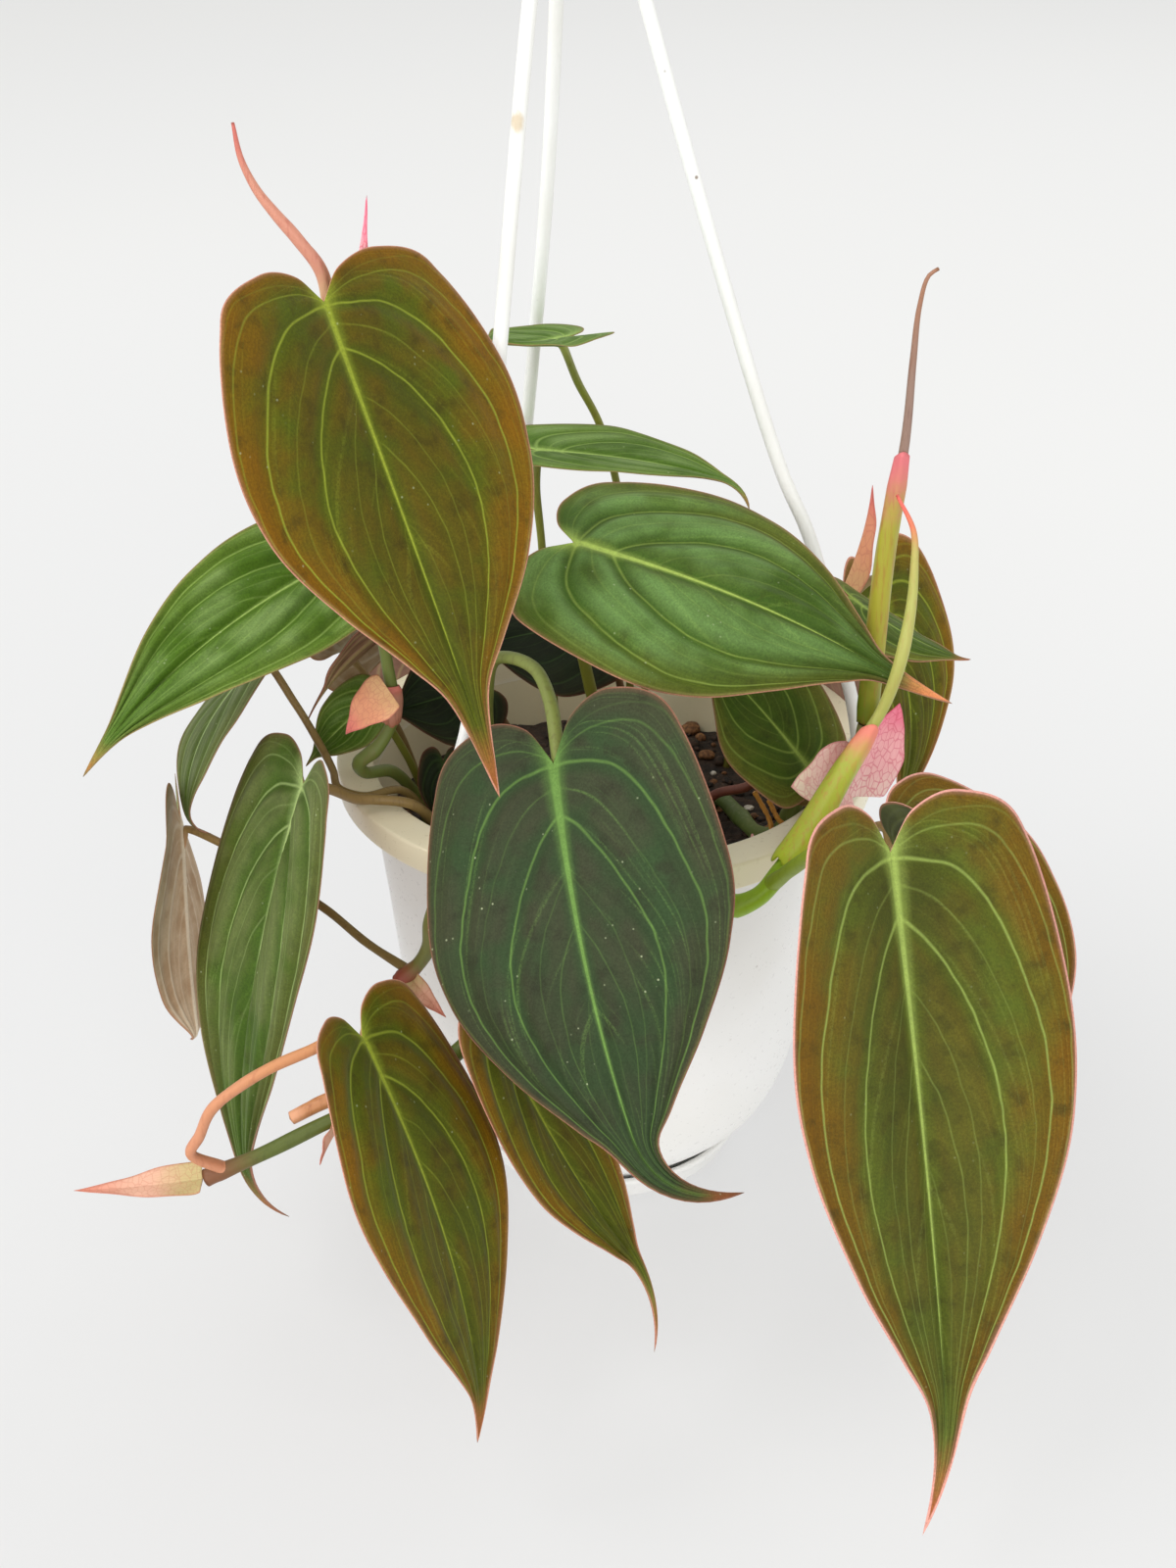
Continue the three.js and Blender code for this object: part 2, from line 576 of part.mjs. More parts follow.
// A route that starts below the soil's surface stands in a plain hole, a little wider than itself.
function holeFor(points, radius, steps) {
  const options = { sides: 6, steps, ceiling: SOIL_TOP + 4, lead: GAP + 0.1 };
  return tube(points, () => (radius + GAP) * 1.16, options);
}

// The pot: one moulded wall with a flanged, rolled rim and three holes for the hanger's rods.
const BODY_PROFILE = [
  [FOOT_RADIUS, FOOT_Z], [33.8, 6.6], [36.4, 9.6], [41.5, 14.6], [46.2, 20], [50.6, 29], [54, 42],
  [56.6, 62], [59, 88], [62, 117],
];

function innerProfile() {
  return BODY_PROFILE.map(([r, z]) => [r - WALL * 1.05, Math.max(z, FOOT_Z + WALL)]);
}

function potBody() {
  const web = RIM_TOP - RIM_WEB;
  const lipBottom = RIM_TOP - RIM_DROP;
  const outer = [[0, FOOT_Z], ...BODY_PROFILE, [62.2, web], [RIM_RADIUS - 1.6, web], [RIM_RADIUS - 1.6, lipBottom]];
  const rim = [[RIM_RADIUS, lipBottom], [RIM_RADIUS, RIM_TOP - 1.8], [RIM_RADIUS - 1.6, RIM_TOP]];
  const mouth = [[MOUTH_RADIUS + 1, RIM_TOP], [MOUTH_RADIUS, RIM_TOP - 1.2]];
  const inner = innerProfile().reverse();
  inner.push([0, FOOT_Z + WALL]);
  let solid = toSolid(turned([...outer, ...rim, ...mouth, ...inner]));
  for (const angle of rodAngles()) {
    const [x, y] = rodFoot(angle);
    const drill = tube([[x, y, web - 3], [x, y, RIM_TOP + 3]], () => ROD_RADIUS + GAP, { sides: 10, steps: 1 });
    solid = solid.subtract(toSolid(drill));
  }
  return toGeometry(solid);
}

function saucer() {
  const inside = SAUCER_RADIUS - SAUCER_WALL;
  return turned([
    [0, 0], [SAUCER_FOOT, 0], [SAUCER_FOOT + 2.4, 2.4], [SAUCER_RADIUS - 0.6, SAUCER_HEIGHT - 2.4],
    [SAUCER_RADIUS + 0.4, SAUCER_HEIGHT - 1.2], [SAUCER_RADIUS + 0.2, SAUCER_HEIGHT],
    [inside, SAUCER_HEIGHT], [inside - 0.9, SAUCER_HEIGHT - 3.4], [SAUCER_FOOT - 2, SAUCER_WALL], [0, SAUCER_WALL],
  ]);
}

// Soil: its top is uneven by a formula, and every stem stands in a hole of its own.
function soil() {
  const wall = innerProfile().map(([r, z]) => [r - GAP, z + (z < FOOT_Z + WALL + 1 ? GAP : 0)]);
  const lower = wall.filter(([, z]) => z < SOIL_TOP - 6);
  const last = lower[lower.length - 1];
  const next = wall[lower.length];
  const topRadius = lerp(last[0], next[0], (SOIL_TOP - last[1]) / (next[1] - last[1]));
  const profile = [[0, lower[0][1]], ...lower, [topRadius, SOIL_TOP], [42, SOIL_TOP], [28, SOIL_TOP]];
  const geometry = turned([...profile, [14, SOIL_TOP], [0, SOIL_TOP]], 28);
  const position = geometry.getAttribute("position");
  for (let k = 0; k < position.count; k++) {
    const [x, y, z] = [position.getX(k), position.getY(k), position.getZ(k)];
    const bump = Math.sin(0.21 * x + 1.1) * Math.cos(0.17 * y) + 0.5 * Math.sin(0.43 * y + 0.31 * x);
    if (z > SOIL_TOP - 1 && Math.hypot(x, y) < topRadius - 1) position.setZ(k, z + SOIL_BUMP * 0.5 * (bump - 0.6));
  }
  let solid = toSolid(geometry);
  for (const stem of STEMS) solid = solid.subtract(toSolid(holeFor(stem.points, stem.radius, 0)));
  for (const leaf of LEAVES) {
    if (leaf.from) continue;
    const points = stalkPoints({ ...LEAF_DEFAULTS, ...leaf });
    solid = solid.subtract(toSolid(holeFor(points, leaf.petiole ?? STALK_RADIUS, stalkSteps(leaf))));
  }
  return toGeometry(solid);
}

// The hanger: three rods that rise from the flange to a hub with a hook.
function rodAngles() {
  return [0, 120, 240].map((turn) => radians(ROD_ANGLE + turn));
}

function rodFoot(angle) {
  return [ROD_CIRCLE * Math.cos(angle), ROD_CIRCLE * Math.sin(angle)];
}

const RODS = [
  { name: "rod_right", bends: [[63.2, -6.5, 140], [61, -6.3, 148], [50.5, -5.6, 184], [43, -5.2, 201], [22, -4, 266]] },
  { name: "rod_back_left", bends: [[-26, 58, 145], [-18.6, 40, 207], [-13, 26.8, 260], [-9.8, 15.4, 305]] },
  { name: "rod_front_left", bends: [[-37, -52.5, 140], [-32.4, -47.5, 155], [-22.9, -30, 240], [-15, -15.6, 309]] },
];

function rod(angle, bends) {
  const [x, y] = rodFoot(angle);
  const below = RIM_TOP - RIM_WEB - GAP;
  const inward = new THREE.Vector3(HUB.x, HUB.y, HUB.z - HUB_DROP);
  const end = vec(bends[bends.length - 1]).sub(inward).setLength(HUB_RADIUS + GAP).add(inward);
  const points = [[x, y, RIM_TOP + 2], [x, y, RIM_TOP + 4], ...bends, end.toArray()];
  const peg = tube([[x, y, below - 2.6], [x, y, RIM_TOP + 2.5]], () => ROD_RADIUS, { steps: 1 });
  let solid = toSolid(tube(points, () => ROD_RADIUS, { steps: 11 })).add(toSolid(peg));
  const button = tube([[x, y, below - 2.4], [x, y, below]], (t) => lerp(2, 2.5, t), { sides: 8, steps: 1 });
  const collar = tube([[x, y, RIM_TOP + GAP], [x, y, RIM_TOP + 3]], (t) => lerp(3, 2.2, t), { sides: 8, steps: 1 });
  solid = solid.add(toSolid(button)).add(toSolid(collar));
  return toGeometry(solid);
}

function hook() {
  const hub = new THREE.SphereGeometry(HUB_RADIUS, 10, 7);
  hub.translate(HUB.x, HUB.y, HUB.z - HUB_DROP);
  const centre = HUB.z + HOOK_NECK + HOOK_RADIUS;
  const points = [[HUB.x, HUB.y, HUB.z - 2], [HUB.x, HUB.y, HUB.z + 7]];
  for (let turn = -95; turn <= 120; turn += 21.5) {
    const angle = radians(turn);
    points.push([HUB.x + HOOK_RADIUS * Math.cos(angle), HUB.y, centre + HOOK_RADIUS * Math.sin(angle)]);
  }
  const bow = tube(points, (t) => HOOK_WIRE * (t > 0.93 ? 0.85 : 1), { sides: 7, steps: 14 });
  return toGeometry(toSolid(hub).add(toSolid(bow)));
}

// Young growth: bracts that clasp the stem, rolled new leaves and air roots.
const BRACTS = [
  {
    name: "bract_trailing_tip", base: [-94.9, -101.1, 64.2], tip: [-125, -102, 62], width: 9, fold: 38, droop: -14,
    roll: 35, wide: 0.2, tail: 0.2,
  },
  { name: "bract_trailing_low", from: ["stem_trailing", 0.79], tip: [-67, -103.5, 70], width: 6, fold: 30, roll: 60 },
  { name: "bract_front_left", from: ["stem_front_left", 0.965], tip: [-39.5, -67, 85], width: 6, fold: 35, roll: 60 },
  {
    name: "bract_left_flap", base: [-51.4, -35.7, 157.4], tip: [-62.5, -38, 147.5], width: 13, fold: 8, droop: 38,
    roll: 10,
  },
  { name: "bract_left_top", from: ["stem_left_shoot", 0.985], tip: [-49, -42, 275], width: 5, fold: 45, roll: 180 },
  {
    name: "bract_right_left_wing", base: [57.4, -42.3, 137.5], tip: [44, -54, 142], width: 15, fold: 14, droop: 22,
    roll: -70, wide: 0.35, tail: 0.1,
  },
  {
    name: "bract_right_right_wing", base: [60.8, -43.4, 139], tip: [68.5, -46.5, 159], width: 15, fold: 12,
    droop: -12, roll: -175, wide: 0.35, tail: 0.1,
  },
  { name: "bract_right_back", base: [60.7, 4.2, 165], tip: [67, 6, 193], width: 8, fold: 40, roll: 180 },
  { name: "bract_right_low", from: ["stem_right_rear", 0.46], tip: [38, -41, 106.5], width: 5, fold: 30, droop: 20 },
];

const SLEEVES = [
  {
    name: "sheath_right_front", outer: [3.9, 2.4], inner: [3.1, 1.9], slant: 2.5,
    points: [[40.5, -71.7, 130], [44, -70.1, 135], [48.5, -67.8, 142], [54, -64.5, 151], [59, -61.5, 158.5]],
  },
  {
    name: "sheath_right_rear", outer: [2.7, 2.1], inner: [2, 1.45], slant: 2,
    points: [[62, -40, 150.6], [63, -40, 175], [64, -40, 196], [66, -40, 216]],
  },
  {
    name: "sheath_left", outer: [2.4, 2.8], inner: [1.85, 2.1], slant: 0.8,
    points: [[-52.6, -28, 145.5], [-52, -28, 150], [-52.2, -28.2, 155.5]],
  },
];

const SHOOTS = [
  {
    name: "shoot_right_slim", colour: "pink", radius: [1.15, 1.5, 0.35],
    points: [[52.5, -65.4, 148.5], [56, -63.3, 154], [59, -61.5, 158.5], [62, -61, 164], [65, -61.5, 175],
      [67, -59.5, 187], [67.5, -57.5, 197], [67, -56, 205], [63, -55, 213]],
  },
  {
    name: "new_leaf_right", colour: "petiole", radius: [1.35, 1.3, 0.4],
    points: [[62.3, -40, 154], [64, -40, 196], [66.5, -40, 220], [67, -40, 238], [67.5, -40, 250], [69, -40, 256.5],
      [71, -40, 258]],
  },
  {
    name: "new_leaf_left", colour: "pink", radius: [1.5, 1.3, 0.35],
    points: [[-57.1, -51.1, 249.5], [-58.5, -50, 261], [-63, -50, 268], [-67, -50, 273], [-70.5, -50, 278],
      [-73, -50, 284], [-74, -50, 291]],
  },
  {
    name: "petiole_stub", colour: "pink", radius: [1.9, 1.8, 1.6],
    points: [[-55.5, -90.4, 82.5], [-66, -93, 80.3], [-74, -95, 77]],
  },
];

const ROOTS = [
  { name: "air_root_low", points: [[37, -29, 125.6], [40.8, -31.6, 118.8], [41.8, -34, 114.8], [46, -36.6, 112.8]] },
  { name: "air_root_high", points: [[40, -35, 126.6], [42.5, -37, 122], [45.2, -36.1, 119.3]] },
];
const ROOT_RADIUS = 0.65;

const STALK_RADIUS = 1.05; // petiole of a small leaf

function stalkRadius(leaf) {
  const radius = leaf.petiole ?? STALK_RADIUS;
  return (t) => radius * (t > 0.85 ? lerp(1, 0.75, (t - 0.85) / 0.15) : 1);
}

function stalkSteps(leaf) {
  return leaf.stalk.length + 2;
}

// The petiole starts in the soil or beside its stem, and ends in the blade: through the junction
// and a little way along the midrib.
function stalkPoints(leaf) {
  const under = bladePoints(leaf, [KNEE], 1)[0][1];
  const start = leaf.from ? [besideStem(leaf.from, leaf.stalk[0], leaf.petiole ?? STALK_RADIUS)] : [];
  return [...start, ...leaf.stalk, leaf.base, under.toArray()];
}

function leafSolid(spec) {
  const leaf = { ...LEAF_DEFAULTS, ...spec };
  if (!leaf.fine) leaf.pleat = 0;
  const sheet = leaf.fine ? blade(leaf, FINE_ROWS, 5) : blade(leaf, PLAIN_ROWS, 2);
  const stalk = tube(stalkPoints(leaf), stalkRadius(leaf), { sides: 5, steps: stalkSteps(leaf) });
  return toGeometry(toSolid(sheet).add(toSolid(stalk)));
}

function bract(spec) {
  const base = spec.from ? besideStem(spec.from, spec.tip, 1.5 * BLADE) : spec.base;
  return blade({ ...LEAF_DEFAULTS, shape: LANCE, pleat: 0, arch: 0, lobe: 0, ...spec, base }, BRACT_ROWS, 2);
}

function taper([start, middle, end]) {
  return (t) => (t < 0.5 ? lerp(start, middle, t * 2) : lerp(middle, end, (t - 0.5) * 2));
}

add("pot_body", potBody(), "plastic", 0.32);
add("saucer", saucer(), "plastic", 0.35);
add("soil", soil(), "soil", 0.95);
RODS.forEach(({ name, bends }, k) => add(name, rod(rodAngles()[k], bends), "plastic", 0.35));
add("hanger_hook", hook(), "plastic", 0.35);
for (const stem of STEMS) add(stem.name, tube(stem.points, swelling(stem)), stem.colour);
for (const leaf of LEAVES) add(leaf.name, leafSolid(leaf), leaf.colour);
for (const spec of BRACTS) add(spec.name, bract(spec), "pink");
for (const { name, points, outer, inner, slant } of SLEEVES) {
  add(name, sleeve(points, (t) => lerp(...outer, t), (t) => lerp(...inner, t), { slant }), "fresh");
}
for (const { name, points, radius, colour } of SHOOTS) {
  add(name, tube(points, taper(radius), { sides: 6, steps: 9 }), colour);
}
for (const { name, points } of ROOTS) add(name, tube(points, () => ROOT_RADIUS, { sides: 5, steps: 4 }), "root");

export default group;
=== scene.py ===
# %% [markdown]
# # A velvet-leaved trailing philodendron in a white hanging pot
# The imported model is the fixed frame: simple closed solids in their true places. Each cell below
# dresses one kind of piece with a finer mesh and a finish made of shader nodes. Tables of lengths are
# in millimetres, as a grower would measure them, and meshes are made in metres.

# %% Load the frame
import math
import random

import bpy
import numpy as np
from mathutils import Matrix, Vector, noise


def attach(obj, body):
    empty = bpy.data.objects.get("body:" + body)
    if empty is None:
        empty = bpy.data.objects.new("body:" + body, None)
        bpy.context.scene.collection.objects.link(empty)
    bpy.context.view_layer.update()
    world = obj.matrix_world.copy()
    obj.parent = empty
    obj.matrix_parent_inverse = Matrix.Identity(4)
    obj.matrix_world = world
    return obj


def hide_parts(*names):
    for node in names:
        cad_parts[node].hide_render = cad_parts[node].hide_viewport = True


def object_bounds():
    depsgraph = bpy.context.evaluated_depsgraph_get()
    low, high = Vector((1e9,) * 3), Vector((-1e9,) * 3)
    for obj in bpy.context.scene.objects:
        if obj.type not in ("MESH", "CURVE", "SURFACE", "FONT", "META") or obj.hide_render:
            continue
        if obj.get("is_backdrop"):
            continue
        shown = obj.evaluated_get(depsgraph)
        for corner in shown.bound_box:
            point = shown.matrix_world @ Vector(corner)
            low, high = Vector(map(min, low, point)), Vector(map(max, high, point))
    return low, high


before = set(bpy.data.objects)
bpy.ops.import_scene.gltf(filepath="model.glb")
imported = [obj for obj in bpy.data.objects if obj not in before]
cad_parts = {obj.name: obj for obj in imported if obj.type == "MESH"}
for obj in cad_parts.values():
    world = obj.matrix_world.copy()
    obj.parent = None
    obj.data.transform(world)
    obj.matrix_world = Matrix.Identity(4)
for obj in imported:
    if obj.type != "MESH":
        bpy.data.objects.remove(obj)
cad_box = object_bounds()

MM = 0.001
print("frame:", len(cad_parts), "nodes, box", [[round(x, 4) for x in corner] for corner in cad_box])

# %% [markdown]
# ## The camera
# The photograph looks down on the plant from a little over half a metre. Its place was worked out from
# the ellipses that the pot's rim and saucer make. A camera can be aimed with a constraint or by setting
# its matrix. The matrix is used because it also holds the slight tilt of the horizon.

# %% Camera
CAMERA_PLACE = Vector((-4.5, -456.6, 362.4)) * MM
LOOK_DOWN = math.radians(28.7)
TILT = math.radians(-0.6)
LENS, SENSOR_HEIGHT = 45, 36

look = Vector((0, math.cos(LOOK_DOWN), -math.sin(LOOK_DOWN)))
level_up = Vector((1, 0, 0)).cross(look)
camera_right = Vector((math.cos(TILT), 0, 0)) + math.sin(TILT) * level_up
camera_up = math.cos(TILT) * level_up - Vector((math.sin(TILT), 0, 0))
camera_data = bpy.data.cameras.new("photo_camera")
camera_data.sensor_fit = "VERTICAL"
camera_data.sensor_height = SENSOR_HEIGHT
camera_data.lens = LENS
camera = bpy.data.objects.new("photo_camera", camera_data)
bpy.context.collection.objects.link(camera)
turn = Matrix((camera_right, camera_up, -look)).transposed()
camera.matrix_world = Matrix.Translation(CAMERA_PLACE) @ turn.to_4x4()
bpy.context.scene.camera = camera
print("camera at", tuple(round(x, 4) for x in CAMERA_PLACE))

# %% [markdown]
# ## Sums on sockets
# A finish is a tree of shader nodes, and long trees are hard to read when every Math node is wired by
# hand. One small class wraps a socket and turns Python's own operators into Math nodes, so that a mask
# can be written as `1 - edge * 0.5`. Every other node comes from one method of the finish.

# %% Sockets and finishes
class Socket:
    """One output of a node. Operators on it add Math nodes."""

    def __init__(self, finish, link):
        self.finish, self.link = finish, link

    def math(self, operation, *others, first=None):
        values = [self, *others] if first is None else [first, self]
        return self.finish.node("ShaderNodeMath", {"operation": operation}, dict(enumerate(values)))

    def __add__(self, other): return self.math("ADD", other)
    def __sub__(self, other): return self.math("SUBTRACT", other)
    def __mul__(self, other): return self.math("MULTIPLY", other)
    def __truediv__(self, other): return self.math("DIVIDE", other)
    def __rsub__(self, other): return self.math("SUBTRACT", first=other)
    def __neg__(self): return self.math("MULTIPLY", -1)
    def __abs__(self): return self.math("ABSOLUTE")
    __radd__, __rmul__ = __add__, __mul__


def daylight(red, green, blue):
    """A colour as the eye reads it in daylight, 0 to 255, turned into the light it sends back."""
    curve = [c / 3294.6 if c <= 10 else ((c / 255 + 0.055) / 1.055) ** 2.4 for c in (red, green, blue)]
    return (*curve, 1)


class Finish:
    """A material made of nodes, with one surface shader at its end."""

    def __init__(self, name):
        self.material = bpy.data.materials.new(name)
        self.material.use_nodes = True
        self.tree = self.material.node_tree
        self.tree.nodes.clear()

    def node(self, kind, settings=(), inputs=(), output=0):
        """Any node: its settings are set first, then the values or links of its sockets."""
        made = self.tree.nodes.new(kind)
        for key, value in dict(settings).items():
            setattr(made, key, value)
        for key, value in dict(inputs).items():
            if isinstance(value, Socket):
                self.tree.links.new(value.link, made.inputs[key])
            else:
                made.inputs[key].default_value = value
        return Socket(self, made.outputs[output] if made.outputs else None)

    def axis(self, vector, which):
        """One of the three numbers of a vector."""
        return self.node("ShaderNodeSeparateXYZ", inputs={0: vector}, output=which)

    def attribute(self, name):
        """The three measures that a point of the mesh carries under that name."""
        vector = self.node("ShaderNodeAttribute", {"attribute_name": name}, output="Vector")
        return [self.axis(vector, k) for k in range(3)]

    def here(self, scale=1000.0, stretch=(1, 1, 1)):
        """The object's own coordinates, in millimetres unless another scale is given."""
        place = self.node("ShaderNodeTexCoord", output="Object")
        by = tuple(scale * each for each in stretch)
        return self.node("ShaderNodeVectorMath", {"operation": "MULTIPLY"}, {0: place, 1: by})

    def noise(self, size, place=None, detail=3.0, rough=0.55):
        """Soft noise from 0 to 1 whose blotches are about that many millimetres across."""
        inputs = {"Vector": place or self.here(), "Scale": 1 / size, "Detail": detail, "Roughness": rough}
        return self.node("ShaderNodeTexNoise", inputs=inputs)

    def cells(self, size, feature="F1", place=None):
        """The distance to cells that are about that many millimetres apart."""
        inputs = {"Vector": place or self.here(), "Scale": 1 / size}
        return self.node("ShaderNodeTexVoronoi", {"feature": feature}, inputs, "Distance")

    def step(self, value, low, high):
        """0 below low and 1 above high, with a soft step between. It falls where low is above high."""
        ends = {1: low, 2: high, 3: 0.0, 4: 1.0} if low < high else {1: high, 2: low, 3: 1.0, 4: 0.0}
        return self.node("ShaderNodeMapRange", {"interpolation_type": "SMOOTHSTEP"}, {0: value, **ends})

    def mix(self, share, under, over, how="MIX"):
        """A share of one colour laid over another. A plain colour is given as daylight reads it."""
        settings = {"data_type": "RGBA", "blend_type": how}
        under, over = (daylight(*c) if isinstance(c, tuple) and len(c) == 3 else c for c in (under, over))
        return self.node("ShaderNodeMix", settings, {0: share, 6: under, 7: over}, 2)

    def bump(self, height, strength, depth):
        """Relief from a height, with its depth in millimetres."""
        inputs = {"Height": height, "Strength": strength, "Distance": depth * MM}
        return self.node("ShaderNodeBump", inputs=inputs)

    def surface(self, **sockets):
        """The finished material. Each socket of the shader is named with _ for a space."""
        named = {key.replace("_", " "): value for key, value in sockets.items()}
        shader = self.node("ShaderNodeBsdfPrincipled", inputs=named)
        self.node("ShaderNodeOutputMaterial", inputs={"Surface": shader})
        return self.material


print("finishes ready")

# %% [markdown]
# ## Floor and light
# The pot stands on a pale studio sweep in bright, soft daylight. A single lamp would give hard shadows,
# so the sky itself is a pale light. A broad panel at the upper left adds the faint direction that the
# shadows show, and weaker panels in front, low at both sides and behind keep the shadows pale. The
# floor also glows a little, a painted light that lifts the shade on it. The floor runs far back,
# because the camera sees no edge.

# %% Floor and light
floor_mesh = bpy.data.meshes.new("studio_floor")
FLOOR_LEFT, FLOOR_RIGHT, FLOOR_NEAR, FLOOR_FAR = -9, 9, -6, 12
floor_corners = [(FLOOR_LEFT, FLOOR_NEAR, 0), (FLOOR_RIGHT, FLOOR_NEAR, 0), (FLOOR_RIGHT, FLOOR_FAR, 0),
                 (FLOOR_LEFT, FLOOR_FAR, 0)]
floor_mesh.from_pydata(floor_corners, [], [(0, 1, 2, 3)])
floor = bpy.data.objects.new("studio_floor", floor_mesh)
bpy.context.collection.objects.link(floor)
floor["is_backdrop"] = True
paper = Finish("studio_paper")
drift = paper.noise(900, detail=1.0)
floor_x, floor_y = (paper.axis(paper.here(1.0), k) for k in (0, 1))
# The paper glows a little, a painted light that keeps the shadows on it pale, more so far behind the pot and
# to its right, where the white sweep is brighter.
far_away = floor_y + paper.step(floor_x, -0.1, 0.5) * 0.6
paper_colour = paper.mix(drift, (156, 157, 158), (162, 162, 161))
floor_painted_light = paper.mix(paper.step(far_away, -0.15, 1.1), (174, 174, 175), (190, 190, 189))
floor_painted_light = paper.mix(drift * 0.3, floor_painted_light, (184, 183, 178))
floor_mesh.materials.append(paper.surface(Base_Color=paper_colour, Roughness=0.9,
                                          Emission_Color=floor_painted_light, Emission_Strength=1.0))

SKY_COLOUR, SKY_STRENGTH = (1.0, 1.0, 0.99, 1), 0.62
sky = bpy.data.worlds.new("soft_daylight")
sky.use_nodes = True
sky.node_tree.nodes["Background"].inputs["Color"].default_value = SKY_COLOUR
sky.node_tree.nodes["Background"].inputs["Strength"].default_value = SKY_STRENGTH
bpy.context.scene.world = sky

POT_MIDDLE, POT_LOW = (0, 0, 0.12), (0, 0, 0.08)


def panel(name, place, size, power, towards=POT_MIDDLE):
    """A round soft light, its place and width in metres and its power in watts."""
    lamp_data = bpy.data.lights.new(name, "AREA")
    lamp_data.shape = "DISK"
    lamp_data.size = size
    lamp_data.energy = power
    lamp = bpy.data.objects.new(name, lamp_data)
    bpy.context.collection.objects.link(lamp)
    lamp.location = place
    lamp.rotation_euler = (Vector(towards) - Vector(place)).to_track_quat("-Z", "Y").to_euler()


panel("window_panel", (-1.2, -0.5, 1.9), 1.5, 20)
panel("front_panel", (0.0, -1.9, 0.9), 2.0, 20)
panel("low_left_panel", (-1.8, -1.0, 0.4), 1.3, 9, towards=POT_LOW)
panel("low_right_panel", (1.7, -1.2, 0.4), 1.3, 7, towards=POT_LOW)
panel("back_panel", (0.9, 1.6, 1.7), 1.2, 8)
bpy.context.scene.view_settings.view_transform = "Standard"
print(len(bpy.data.lights), "soft panels")

# %% [markdown]
# ## Helpers that make meshes
# Meshes could be grown with modifiers or with curve objects. They are written out as points and faces
# here, because leaves and stems then carry their own measures as attributes, such as how far along a
# stem a point lies, and the finishes can paint veins and streaks from them.

# %% Making and dressing a piece
NOTHING = [0.0, 0.0, 0.0]


class Shape:
    """Points, faces and attributes gathered from several surfaces, until they dress a node."""

    def __init__(self):
        self.points, self.faces, self.kinds, self.attributes = [], [], [], {}

    def add(self, points, faces, kind=0, **measures):
        """Points in millimetres, faces, the number of their finish, and measures for each point. Points
        of other surfaces that lack a measure carry zeros."""
        start = len(self.points)
        for key, values in measures.items():
            carried = self.attributes.setdefault(key, [])
            carried.extend([NOTHING] * (start - len(carried)))
            carried.extend(np.asarray(values, float).tolist())
        self.points.extend(np.asarray(points, float).tolist())
        self.faces.extend([tuple(k + start for k in face) for face in faces])
        self.kinds.extend([kind] * len(faces))

    def dress(self, node, finishes, slot, made="grown"):
        """Makes the mesh object, which stands for the CAD node and rides where it does."""
        mesh = bpy.data.meshes.new(f"{made}_{node}")
        places = (np.asarray(self.points, float) * MM).tolist()
        mesh.from_pydata(places, [], [tuple(int(k) for k in face) for face in self.faces])
        for finish in finishes:
            mesh.materials.append(finish)
        mesh.polygons.foreach_set("material_index", np.asarray(self.kinds, np.int32))
        for key, values in self.attributes.items():
            values = values + [NOTHING] * (len(self.points) - len(values))
            layer = mesh.attributes.new(key, "FLOAT_VECTOR", "POINT")
            layer.data.foreach_set("vector", np.asarray(values, np.float32).ravel())
        mesh.polygons.foreach_set("use_smooth", np.full(len(mesh.polygons), True))
        mesh.validate()
        mesh.update()
        piece = bpy.data.objects.new(f"{made}_{node}", mesh)
        bpy.context.collection.objects.link(piece)
        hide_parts(node)
        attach(piece, "root")


def sheet_faces(rows, columns, closed=False, flip=False):
    """Quads over a grid of points, row after row. closed joins the last column to the first."""
    width = columns + (0 if closed else 1)
    faces = []
    for i in range(rows):
        for j in range(columns):
            a, b = i * width + j, (i + 1) * width + j
            d, c = i * width + (j + 1) % width, (i + 1) * width + (j + 1) % width
            faces.append((a, b, c, d) if flip else (a, d, c, b))
    return faces


def circle(sides):
    """The angles of points that are evenly spaced round a circle."""
    return 2 * np.pi * np.arange(sides) / sides


def table(*columns):
    """Measures or coordinates side by side, stretched to one common net."""
    return np.stack(np.broadcast_arrays(*columns), -1)


print("a net of 2 by 3 has", len(sheet_faces(2, 3)), "faces")

# %% [markdown]
# ## Routes and tubes
# Stems, petioles, roots and the hanger's rods are round and bend smoothly through a few known places.
# Blender's curve objects could draw them, but the CAD solids follow a centripetal spline, which a
# Bezier curve only comes near. The same spline is worked out here, so each piece lies in its solid.

# %% Routes and tubes
CAP_SWELL = 0.35


def run_of(line):
    """How far along the line each of its places lies."""
    return np.concatenate([[0], np.cumsum(np.linalg.norm(np.diff(line, axis=0), axis=1))])


def route(points, fineness=24):
    """Places along a centripetal spline through the points, and how far along it each one lies."""
    knots = np.asarray(points, float)
    before, after = 2 * knots[0] - knots[1], 2 * knots[-1] - knots[-2]
    padded = np.vstack([before, knots, after])
    share = np.linspace(0, 1, fineness, endpoint=False)[:, None]
    line = []
    for p0, p1, p2, p3 in zip(padded, padded[1:], padded[2:], padded[3:]):
        d0, d1, d2 = (max(np.linalg.norm(b - a) ** 0.5, 1e-4) for a, b in ((p0, p1), (p1, p2), (p2, p3)))
        t1 = ((p1 - p0) / d0 - (p2 - p0) / (d0 + d1) + (p2 - p1) / d1) * d1
        t2 = ((p2 - p1) / d1 - (p3 - p1) / (d1 + d2) + (p3 - p2) / d2) * d1
        line.append(p1 + t1 * share + (3 * (p2 - p1) - 2 * t1 - t2) * share**2
                    + (2 * (p1 - p2) + t1 + t2) * share**3)
    line = np.vstack([*line, knots[-1:]])
    return line, run_of(line)


def along(points, shares):
    """The route's places at shares of its length."""
    line, run = route(points)
    return np.stack([np.interp(np.asarray(shares) * run[-1], run, line[:, k]) for k in range(3)], 1)


